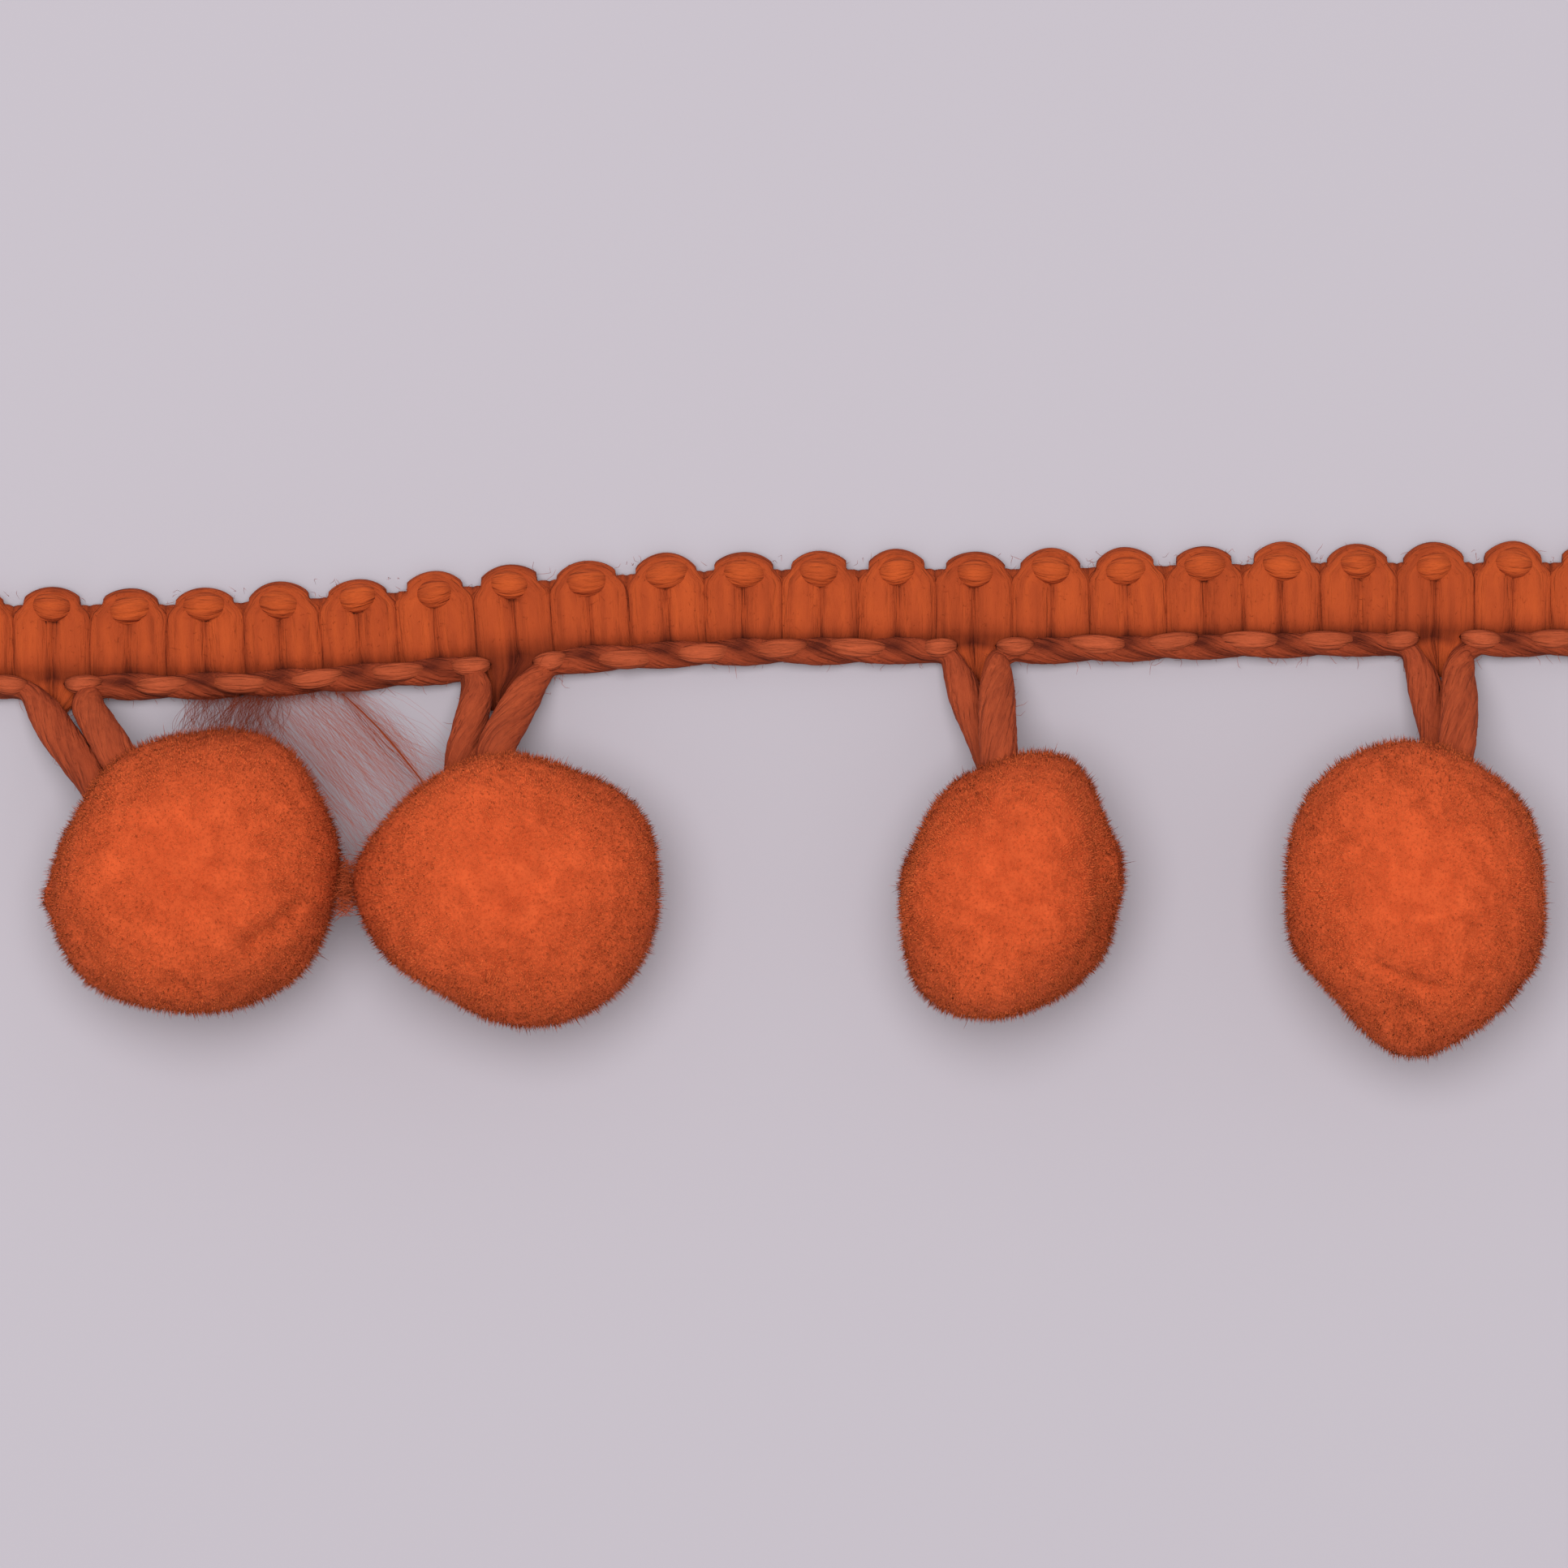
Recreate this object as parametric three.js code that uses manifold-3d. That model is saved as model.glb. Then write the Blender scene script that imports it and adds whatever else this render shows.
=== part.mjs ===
// A cut length of pom pom trim lying face up on a flat surface, in millimetres.
// A crocheted heading is ribbed across and scalloped along its upper edge. One soft two-ply
// yarn is held along its lower edge, and at every sixth scallop it drops away as a loop.
// A clipped ball of pile is bound around the turn of each loop.
// X runs along the heading, Y points from the pom poms to the scallops and Z points up.
// The origin is in the middle of the heading's flat back.
import * as THREE from "three";
import { mergeVertices } from "three/addons/utils/BufferGeometryUtils.js";
import Module from "manifold-3d";

const wasm = await Module();
wasm.setup();

// The repeat along the heading
const SCALLOP_PITCH = 5.4;
const SCALLOPS_PER_POM = 6;
const POM_COUNT = 4;
const SCALLOP_COUNT = SCALLOPS_PER_POM * POM_COUNT;
const HEADING_LENGTH = SCALLOP_COUNT * SCALLOP_PITCH;
const RIB_PITCH = SCALLOP_PITCH / 2;

// How the heading lies in plan: two soft steps between straight stretches
const LIE_START = -2.5;
const LIE_STEPS = [
  { from: -40, to: 6, rise: 2.5 },
  { from: 18, to: 46, rise: 0.45 },
];

// The heading across its width, measured from its centreline
const LOWER_EDGE = -1.7;
const VALLEY_EDGE = 2.6;
const SCALLOP_RISE = 1.35;
const SCALLOP_RISE_GROWTH = 0.003;
const SCALLOP_SHARE = 0.84;
const BACK_TUCK = 0.4;

// The heading's thickness
const WEB_HEIGHT = 1.25;
const RIB_RISE = 0.55;
const EDGE_HEIGHT = 0.8;
const EDGE_ROLL = 0.95;
const LOWER_DROP = 0.4;
const LOWER_ROLL = 0.8;

// The puffed stitch that turns over the top of each scallop
const STITCH_ACROSS = 2.65;
const STITCH_HALF_WIDTH = 1.7;
const STITCH_HALF_LENGTH = 1.05;
const STITCH_HEIGHT = 1.05;

// Hand-made unevenness from scallop to scallop
const UNEVEN_RISE = 0.09;
const UNEVEN_SHIFT = 0.13;

// How finely the heading is divided
const STEPS_PER_PITCH = 8;
const ROW_SHARES = [0, 0.08, 0.3, 0.52, 0.65, 0.76, 0.87, 0.95, 1];

// The carrier yarn
const YARN_ACROSS = -3.22;
const YARN_HEIGHT = 1.16;
const YARN_FLATNESS = 0.9;
const EDGE_RADIUS = 1.12;
const BEND_RADIUS = 0.95;
const LEG_RADIUS = 1.12;
const BOUND_RADIUS = 0.95;
const PLY_RELIEF = 0.09;
const YARN_SIDES = 10;
const YARN_STEP = 1.2;
const EDGE_MARGIN = 0.1;
const SOCKET_GAP = 0.33;
const MOUTH_POINT = 4;

// Each loop's way from the heading's edge down into its pom pom and back, point by point
const LOOPS = [
  [
    { x: -49.6, y: -5.7, z: YARN_HEIGHT, radius: EDGE_RADIUS },
    { x: -47.7, y: -6, z: 1.2, radius: BEND_RADIUS },
    { x: -46.5, y: -7.2, z: 1.9, radius: LEG_RADIUS },
    { x: -45.2, y: -9, z: 3.5, radius: LEG_RADIUS },
    { x: -43.1, y: -11.5, z: 5.8, radius: LEG_RADIUS },
    { x: -41.4, y: -14, z: 7.2, radius: BOUND_RADIUS },
    { x: -39.8, y: -15, z: 8.2, radius: BOUND_RADIUS },
    { x: -39.4, y: -12.9, z: 8.3, radius: BOUND_RADIUS },
    { x: -41, y: -10.2, z: 7.2, radius: LEG_RADIUS },
    { x: -42.5, y: -8.1, z: 4.6, radius: LEG_RADIUS },
    { x: -43.3, y: -6.9, z: 2.4, radius: LEG_RADIUS },
    { x: -43.2, y: -6, z: 1.3, radius: BEND_RADIUS },
    { x: -42.2, y: -5.7, z: 1.2, radius: BEND_RADIUS },
    { x: -40.8, y: -5.7, z: YARN_HEIGHT, radius: EDGE_RADIUS },
  ],
  [
    { x: -18.6, y: -4.6, z: YARN_HEIGHT, radius: EDGE_RADIUS },
    { x: -16.8, y: -4.6, z: 1.2, radius: BEND_RADIUS },
    { x: -16.1, y: -5.7, z: 1.8, radius: LEG_RADIUS },
    { x: -16.3, y: -7.9, z: 3.6, radius: LEG_RADIUS },
    { x: -16.8, y: -10.8, z: 5.8, radius: LEG_RADIUS },
    { x: -16.7, y: -13.6, z: 7, radius: BOUND_RADIUS },
    { x: -15.4, y: -15.2, z: 8, radius: BOUND_RADIUS },
    { x: -14.4, y: -13.3, z: 8.1, radius: BOUND_RADIUS },
    { x: -14.6, y: -10.5, z: 7.4, radius: LEG_RADIUS },
    { x: -13.3, y: -7.5, z: 4.4, radius: LEG_RADIUS },
    { x: -11.9, y: -5.2, z: 1.8, radius: LEG_RADIUS },
    { x: -11, y: -4.3, z: 1.2, radius: BEND_RADIUS },
    { x: -9.4, y: -3.9, z: YARN_HEIGHT, radius: EDGE_RADIUS },
  ],
  [
    { x: 15.2, y: -3.2, z: YARN_HEIGHT, radius: EDGE_RADIUS },
    { x: 17, y: -3.5, z: 1.2, radius: BEND_RADIUS },
    { x: 17.7, y: -4.7, z: 1.5, radius: LEG_RADIUS },
    { x: 18.6, y: -7, z: 2.7, radius: LEG_RADIUS },
    { x: 20, y: -10.3, z: 5.1, radius: LEG_RADIUS },
    { x: 20.6, y: -13.2, z: 6.3, radius: BOUND_RADIUS },
    { x: 20.9, y: -15, z: 7.7, radius: BOUND_RADIUS },
    { x: 20.8, y: -13.6, z: 9.2, radius: BOUND_RADIUS },
    { x: 20.5, y: -11.2, z: 8.6, radius: LEG_RADIUS },
    { x: 20.4, y: -7.6, z: 6.3, radius: LEG_RADIUS },
    { x: 20.5, y: -4.9, z: 2.7, radius: LEG_RADIUS },
    { x: 20.6, y: -3.8, z: 1.4, radius: BEND_RADIUS },
    { x: 21.6, y: -3.25, z: 1.2, radius: BEND_RADIUS },
    { x: 23, y: -3.2, z: YARN_HEIGHT, radius: EDGE_RADIUS },
  ],
  [
    { x: 47.6, y: -2.75, z: YARN_HEIGHT, radius: EDGE_RADIUS },
    { x: 49.3, y: -3.1, z: 1.2, radius: BEND_RADIUS },
    { x: 50.1, y: -4.4, z: 1.5, radius: LEG_RADIUS },
    { x: 50.7, y: -6.4, z: 2.7, radius: LEG_RADIUS },
    { x: 51.3, y: -9.3, z: 4.8, radius: LEG_RADIUS },
    { x: 51.5, y: -12, z: 6, radius: BOUND_RADIUS },
    { x: 51.6, y: -14.2, z: 7.4, radius: BOUND_RADIUS },
    { x: 51.9, y: -12.6, z: 8.7, radius: BOUND_RADIUS },
    { x: 52.3, y: -9.7, z: 7.7, radius: LEG_RADIUS },
    { x: 52.7, y: -6.6, z: 5.3, radius: LEG_RADIUS },
    { x: 52.9, y: -4.4, z: 2.2, radius: LEG_RADIUS },
    { x: 53.3, y: -3.4, z: 1.3, radius: BEND_RADIUS },
    { x: 54.3, y: -2.8, z: 1.2, radius: BEND_RADIUS },
    { x: 55.7, y: -2.75, z: YARN_HEIGHT, radius: EDGE_RADIUS },
  ],
];

// Each pom pom as it lies: a squashed ball with a few swells (and, where negative, dents)
// at a bearing in plan and an elevation above its widest level, both in degrees
const POMS = [
  {
    x: -35.5, y: -18.7, halfWidth: 9.95, halfLength: 10, halfHeight: 9.1, turn: 0,
    swells: [
      { bearing: 50, elevation: 5, size: 1.1, spread: 27 },
      { bearing: 145, elevation: 0, size: -0.8, spread: 34 },
      { bearing: 200, elevation: -5, size: 0.7, spread: 24 },
      { bearing: 322, elevation: -5, size: 0.55, spread: 20 },
      { bearing: 318, elevation: 34, size: -0.35, spread: 13 },
    ],
  },
  {
    x: -13.3, y: -19.6, halfWidth: 10.6, halfLength: 9.3, halfHeight: 9, turn: 0,
    swells: [
      { bearing: 178, elevation: 0, size: 0.75, spread: 13 },
      { bearing: 235, elevation: 0, size: -0.75, spread: 27 },
      { bearing: 292, elevation: 0, size: 0.6, spread: 20 },
      { bearing: 150, elevation: 0, size: -0.3, spread: 16 },
      { bearing: 20, elevation: 5, size: 0.35, spread: 20 },
    ],
  },
  {
    x: 21.1, y: -19.5, halfWidth: 7.3, halfLength: 9.9, halfHeight: 9.4, turn: -22,
    swells: [
      { bearing: 38, elevation: 0, size: -0.45, spread: 20 },
      { bearing: 78, elevation: 0, size: -0.2, spread: 16 },
      { bearing: 110, elevation: 45, size: -0.3, spread: 14 },
      { bearing: 322, elevation: -5, size: 1.05, spread: 26 },
    ],
  },
  {
    x: 49.5, y: -20.1, halfWidth: 9.2, halfLength: 10.6, halfHeight: 9.2, turn: 0,
    swells: [
      { bearing: 130, elevation: 5, size: 0.85, spread: 26 },
      { bearing: 227, elevation: 0, size: -0.6, spread: 17 },
      { bearing: 270, elevation: -8, size: 0.85, spread: 16 },
      { bearing: 308, elevation: 0, size: -0.9, spread: 20 },
      { bearing: 262, elevation: 30, size: -0.55, spread: 12 },
    ],
  },
];
const POM_DETAIL = 7;
const POM_FLAT = 0.4;
const LUMP_SIZE = 0.16;
const LUMP_WAVES = [
  { x: 5.1, y: 2.3, z: 3.7, phase: 0.4 },
  { x: -3.4, y: 5.6, z: 1.9, phase: 2.1 },
  { x: 2.2, y: -4.2, z: 5.3, phase: 4 },
];

const HEADING_COLOUR = 0xae4828;
const YARN_COLOUR = 0xa84a28;
const PILE_COLOUR = 0xd4562e;

const UP = new THREE.Vector3(0, 0, 1);
const smoothstep = THREE.MathUtils.smoothstep;
const radians = THREE.MathUtils.degToRad;

// How far the heading's centreline lies to the side at a place along it
function lie(along) {
  return LIE_STEPS.reduce(
    (sum, step) => sum + step.rise * smoothstep(along, step.from, step.to),
    LIE_START,
  );
}

// A point of the heading, from its place along and across it and its height
function headingPoint(along, across, height) {
  const reach = 0.5;
  const slope = (lie(along + reach) - lie(along - reach)) / (2 * reach);
  const square = across / Math.hypot(1, slope);
  return [along - slope * square, lie(along) + square, height];
}

// The scallop that a place along the heading belongs to: its number from the left end, the
// distance from its centre and its own unevenness
function scallopAt(along) {
  const place = (along + HEADING_LENGTH / 2) / SCALLOP_PITCH;
  const number = Math.min(SCALLOP_COUNT - 1, Math.max(0, Math.floor(place + 1e-6)));
  const raw = (place - number - 0.5) * SCALLOP_PITCH;
  const share = raw / (SCALLOP_PITCH / 2);
  const shift = UNEVEN_SHIFT * Math.sin(1.7 * number + 1) * (1 - share * share);
  return {
    offset: raw - shift,
    rise: SCALLOP_RISE * (1 + UNEVEN_RISE * Math.sin(2.4 * number)) + SCALLOP_RISE_GROWTH * along,
  };
}

// How far across the heading reaches at a place along it: a rounded crest over each scallop
function outlineAcross(along) {
  const scallop = scallopAt(along);
  const share = scallop.offset / ((SCALLOP_PITCH / 2) * SCALLOP_SHARE);
  return VALLEY_EDGE + scallop.rise * Math.max(0, 1 - share * share) ** 0.6;
}

// The height of the heading's face: half-round ribs rolled over at both edges, with the
// puffed stitch as a flat dome on the top of each scallop
function faceHeight(along, across) {
  const rib = Math.abs(Math.sin((Math.PI * along) / RIB_PITCH)) ** 0.7;
  const ribbed = WEB_HEIGHT + RIB_RISE * rib;
  const inward = Math.min(1, (outlineAcross(along) - across) / EDGE_ROLL);
  const rolled = EDGE_HEIGHT + (ribbed - EDGE_HEIGHT) * Math.sqrt(Math.max(0, 1 - (1 - inward) ** 2));
  const sunk = rolled - LOWER_DROP * (1 - smoothstep(across - LOWER_EDGE, 0, LOWER_ROLL));
  const scallop = scallopAt(along);
  const dome =
    1 -
    (scallop.offset / STITCH_HALF_WIDTH) ** 2 -
    ((across - STITCH_ACROSS) / STITCH_HALF_LENGTH) ** 2;
  return Math.max(sunk, WEB_HEIGHT + STITCH_HEIGHT * Math.sqrt(Math.max(0, dome)));
}

// The closed section of the heading at one place along it, from the back's lower edge up
// over the face to the back's upper edge
function headingSection(along) {
  const outline = outlineAcross(along);
  const face = ROW_SHARES.map((share) => {
    const across = LOWER_EDGE + share * (outline - LOWER_EDGE);
    const height = share === 1 ? EDGE_HEIGHT : faceHeight(along, across);
    return { across, height };
  });
  return [{ across: LOWER_EDGE, height: 0 }, ...face, { across: outline - BACK_TUCK, height: 0 }];
}

// A closed skin through rings of the same number of points, with a fan as the cap of each end
function skin(rings) {
  const count = rings[0].length;
  const indices = [];
  for (let ring = 0; ring < rings.length - 1; ring += 1) {
    for (let side = 0; side < count; side += 1) {
      const here = ring * count + side;
      const beside = ring * count + ((side + 1) % count);
      indices.push(here, here + count, beside, beside, here + count, beside + count);
    }
  }
  const last = (rings.length - 1) * count;
  for (let corner = 1; corner < count - 1; corner += 1) {
    indices.push(0, corner, corner + 1, last, last + corner + 1, last + corner);
  }
  const geometry = new THREE.BufferGeometry();
  geometry.setAttribute("position", new THREE.Float32BufferAttribute(rings.flat(2), 3));
  geometry.setIndex(indices);
  return geometry;
}

function headingGeometry() {
  const steps = SCALLOP_COUNT * STEPS_PER_PITCH;
  const rings = [];
  for (let step = 0; step <= steps; step += 1) {
    const along = HEADING_LENGTH * (step / steps - 0.5);
    rings.push(headingSection(along).map((p) => headingPoint(along, p.across, p.height)));
  }
  return skin(rings);
}

// A point of the yarn on the heading's lower edge
function edgePoint(along) {
  const [x, y] = headingPoint(along, YARN_ACROSS, 0);
  return { x, y, z: YARN_HEIGHT, radius: EDGE_RADIUS };
}

// The yarn's points on the lower edge between two places, one at each valley of the scallops
function edgeStretch(from, to) {
  const first = Math.ceil((from + RIB_PITCH) / SCALLOP_PITCH);
  const last = Math.floor((to - RIB_PITCH) / SCALLOP_PITCH);
  const points = [];
  for (let valley = first; valley <= last; valley += 1) {
    points.push(edgePoint(valley * SCALLOP_PITCH));
  }
  return points;
}

// The yarn's whole way: along the lower edge, with each loop's own points between
function yarnRoute() {
  const end = HEADING_LENGTH / 2 - EDGE_MARGIN;
  const route = [edgePoint(-end)];
  for (const loop of LOOPS) {
    route.push(...edgeStretch(route[route.length - 1].x, loop[0].x), ...loop);
  }
  route.push(...edgeStretch(route[route.length - 1].x, end), edgePoint(end));
  return route;
}

// The rings of a tube along a route, swollen by a clearance. Its section is a slightly flat
// circle with two soft lobes that turn half round in each scallop's length, as two plies do
function yarnRings(route, relief, clearance) {
  const curve = new THREE.CatmullRomCurve3(
    route.map((p) => new THREE.Vector3(p.x, p.y, p.z)),
    false,
    "centripetal",
  );
  const spans = route.length - 1;
  const stations = [];
  for (let span = 0; span < spans; span += 1) {
    const [a, b] = [route[span], route[span + 1]];
    const steps = Math.max(2, Math.round(Math.hypot(b.x - a.x, b.y - a.y, b.z - a.z) / YARN_STEP));
    for (let step = 0; step < steps; step += 1) {
      const share = step / steps;
      stations.push({ at: (span + share) / spans, radius: a.radius + share * (b.radius - a.radius) });
    }
  }
  stations.push({ at: 1, radius: route[spans].radius });
  return stations.map(({ at, radius }) => {
    const centre = curve.getPoint(at);
    const forward = curve.getTangent(at);
    const side = new THREE.Vector3().crossVectors(UP, forward).normalize();
    const over = new THREE.Vector3().crossVectors(forward, side);
    const turn = (2 * Math.PI * (centre.x - centre.y + HEADING_LENGTH / 2)) / SCALLOP_PITCH;
    return Array.from({ length: YARN_SIDES }, (_, k) => {
      const angle = (-2 * Math.PI * k) / YARN_SIDES;
      const lobes = 1 + relief * Math.cos(2 * angle - turn - Math.PI);
      const reach = radius * lobes + clearance;
      return centre
        .clone()
        .addScaledVector(side, reach * Math.cos(angle))
        .addScaledVector(over, YARN_FLATNESS * reach * Math.sin(angle))
        .toArray();
    });
  });
}

// The room that a loop takes up in its pom pom: the hull of the tight turn, with the tubes
// of the two legs outside it
function roomOf(loop) {
  const swollen = (points) => yarnRings(points, 0, SOCKET_GAP + LEG_RADIUS * PLY_RELIEF);
  const turn = wasm.Manifold.hull(swollen(loop.slice(MOUTH_POINT, -MOUTH_POINT)).flat());
  const legs = [
    loop.slice(MOUTH_POINT - 2, MOUTH_POINT + 1),
    loop.slice(-MOUTH_POINT - 1, 2 - MOUTH_POINT),
  ];
  return legs.reduce((room, leg) => room.add(solidOf(skin(swollen(leg)))), turn);
}

// The distance from a pom pom's middle to its skin in one direction
function pomRadius(pom, direction) {
  const turned = direction.clone().applyAxisAngle(UP, -radians(pom.turn));
  const ball =
    1 /
    Math.hypot(turned.x / pom.halfWidth, turned.y / pom.halfLength, turned.z / pom.halfHeight);
  const swell = pom.swells.reduce((sum, s) => {
    const level = Math.cos(radians(s.elevation));
    const aim = new THREE.Vector3(
      level * Math.cos(radians(s.bearing)),
      level * Math.sin(radians(s.bearing)),
      Math.sin(radians(s.elevation)),
    );
    const away = direction.angleTo(aim) / radians(s.spread);
    return sum + s.size * Math.exp(-away * away);
  }, 0);
  const lumps = LUMP_WAVES.reduce(
    (sum, w) =>
      sum + Math.sin(w.x * direction.x + w.y * direction.y + w.z * direction.z + w.phase + pom.x),
    0,
  );
  return ball + swell + LUMP_SIZE * lumps;
}

function solidOf(geometry) {
  const bare = new THREE.BufferGeometry();
  bare.setAttribute("position", geometry.getAttribute("position").clone());
  if (geometry.index) bare.setIndex(geometry.index.clone());
  const merged = mergeVertices(bare);
  return new wasm.Manifold(
    new wasm.Mesh({
      numProp: 3,
      vertProperties: merged.attributes.position.array,
      triVerts: new Uint32Array(merged.index.array),
    }),
  );
}

function geometryOf(solid) {
  const mesh = solid.getMesh();
  const geometry = new THREE.BufferGeometry();
  geometry.setAttribute("position", new THREE.BufferAttribute(mesh.vertProperties, 3));
  geometry.setIndex(new THREE.BufferAttribute(mesh.triVerts, 1));
  return geometry;
}

// A pom pom: the ball, flat where it rests, less the room that the loop takes up inside it
function pomGeometry(pom, loop) {
  const ball = new THREE.IcosahedronGeometry(1, POM_DETAIL);
  const points = ball.getAttribute("position");
  const direction = new THREE.Vector3();
  for (let i = 0; i < points.count; i += 1) {
    direction.fromBufferAttribute(points, i).normalize();
    const reach = pomRadius(pom, direction);
    points.setXYZ(
      i,
      pom.x + reach * direction.x,
      pom.y + reach * direction.y,
      Math.max(0, pom.halfHeight - POM_FLAT + reach * direction.z),
    );
  }
  ball.deleteAttribute("normal");
  ball.deleteAttribute("uv");
  return geometryOf(solidOf(ball).subtract(roomOf(loop)));
}

function named(name, geometry, colour) {
  geometry.computeVertexNormals();
  const material = new THREE.MeshStandardMaterial({ color: colour, roughness: 0.95, metalness: 0 });
  const mesh = new THREE.Mesh(geometry, material);
  mesh.name = name;
  return mesh;
}

const trim = new THREE.Group();
trim.name = "pom_pom_trim";
trim.add(named("heading", headingGeometry(), HEADING_COLOUR));
trim.add(named("carrier_yarn", skin(yarnRings(yarnRoute(), PLY_RELIEF, 0)), YARN_COLOUR));
POMS.forEach((pom, index) => {
  trim.add(named(`pompom_${index + 1}`, pomGeometry(pom, LOOPS[index]), PILE_COLOUR));
});

export default trim;
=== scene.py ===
import bpy
import numpy as np
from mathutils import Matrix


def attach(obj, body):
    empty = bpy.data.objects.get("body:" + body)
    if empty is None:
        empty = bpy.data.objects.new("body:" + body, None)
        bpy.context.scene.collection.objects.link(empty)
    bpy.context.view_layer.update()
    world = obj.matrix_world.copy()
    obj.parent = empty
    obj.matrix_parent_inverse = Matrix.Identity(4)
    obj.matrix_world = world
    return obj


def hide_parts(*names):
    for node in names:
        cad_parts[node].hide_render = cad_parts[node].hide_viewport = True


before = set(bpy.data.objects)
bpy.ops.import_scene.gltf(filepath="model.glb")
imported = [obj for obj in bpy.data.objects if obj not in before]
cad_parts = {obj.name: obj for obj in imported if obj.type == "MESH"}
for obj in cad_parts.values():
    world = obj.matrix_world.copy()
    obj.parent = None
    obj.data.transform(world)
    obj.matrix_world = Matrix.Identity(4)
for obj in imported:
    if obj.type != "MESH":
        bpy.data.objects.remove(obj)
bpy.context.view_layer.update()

# Lengths are worked out in millimetres, in the part's own frame, and become metres when a
# mesh is made.
MM = 0.001

# The repeat along the heading
SCALLOP_PITCH = 5.4
SCALLOP_COUNT = 24
HEADING_LENGTH = SCALLOP_COUNT * SCALLOP_PITCH
RIB_PITCH = SCALLOP_PITCH / 2
# Its slow bend: how far to the side it starts, and its steps as start, end and rise
LIE_START = -2.5
LIE_STEPS = ((-40, 6, 2.5), (18, 46, 0.45))

# The scallops and their unevenness
VALLEY_EDGE = 2.6
SCALLOP_RISE = 1.35
SCALLOP_RISE_GROWTH = 0.003
UNEVEN_RISE = 0.09
UNEVEN_SHIFT = 0.13

# The carrier yarn's way, as x, y, z and radius: each loop's own points, in the order of the
# pom poms, and what lies between them along the heading's lower edge
YARN_ACROSS = -3.22
YARN_HEIGHT = 1.16
YARN_FLATNESS = 0.9
EDGE_RADIUS = 1.12
EDGE_MARGIN = 0.1
LOOPS = (
    (
        (-49.6, -5.7, 1.16, 1.12),
        (-47.7, -6, 1.2, 0.95),
        (-46.5, -7.2, 1.9, 1.12),
        (-45.2, -9, 3.5, 1.12),
        (-43.1, -11.5, 5.8, 1.12),
        (-41.4, -14, 7.2, 0.95),
        (-39.8, -15, 8.2, 0.95),
        (-39.4, -12.9, 8.3, 0.95),
        (-41, -10.2, 7.2, 1.12),
        (-42.5, -8.1, 4.6, 1.12),
        (-43.3, -6.9, 2.4, 1.12),
        (-43.2, -6, 1.3, 0.95),
        (-42.2, -5.7, 1.2, 0.95),
        (-40.8, -5.7, 1.16, 1.12),
    ),
    (
        (-18.6, -4.6, 1.16, 1.12),
        (-16.8, -4.6, 1.2, 0.95),
        (-16.1, -5.7, 1.8, 1.12),
        (-16.3, -7.9, 3.6, 1.12),
        (-16.8, -10.8, 5.8, 1.12),
        (-16.7, -13.6, 7, 0.95),
        (-15.4, -15.2, 8, 0.95),
        (-14.4, -13.3, 8.1, 0.95),
        (-14.6, -10.5, 7.4, 1.12),
        (-13.3, -7.5, 4.4, 1.12),
        (-11.9, -5.2, 1.8, 1.12),
        (-11, -4.3, 1.2, 0.95),
        (-9.4, -3.9, 1.16, 1.12),
    ),
    (
        (15.2, -3.2, 1.16, 1.12),
        (17, -3.5, 1.2, 0.95),
        (17.7, -4.7, 1.5, 1.12),
        (18.6, -7, 2.7, 1.12),
        (20, -10.3, 5.1, 1.12),
        (20.6, -13.2, 6.3, 0.95),
        (20.9, -15, 7.7, 0.95),
        (20.8, -13.6, 9.2, 0.95),
        (20.5, -11.2, 8.6, 1.12),
        (20.4, -7.6, 6.3, 1.12),
        (20.5, -4.9, 2.7, 1.12),
        (20.6, -3.8, 1.4, 0.95),
        (21.6, -3.25, 1.2, 0.95),
        (23, -3.2, 1.16, 1.12),
    ),
    (
        (47.6, -2.75, 1.16, 1.12),
        (49.3, -3.1, 1.2, 0.95),
        (50.1, -4.4, 1.5, 1.12),
        (50.7, -6.4, 2.7, 1.12),
        (51.3, -9.3, 4.8, 1.12),
        (51.5, -12, 6, 0.95),
        (51.6, -14.2, 7.4, 0.95),
        (51.9, -12.6, 8.7, 0.95),
        (52.3, -9.7, 7.7, 1.12),
        (52.7, -6.6, 5.3, 1.12),
        (52.9, -4.4, 2.2, 1.12),
        (53.3, -3.4, 1.3, 0.95),
        (54.3, -2.8, 1.2, 0.95),
        (55.7, -2.75, 1.16, 1.12),
    ),
)

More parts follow.
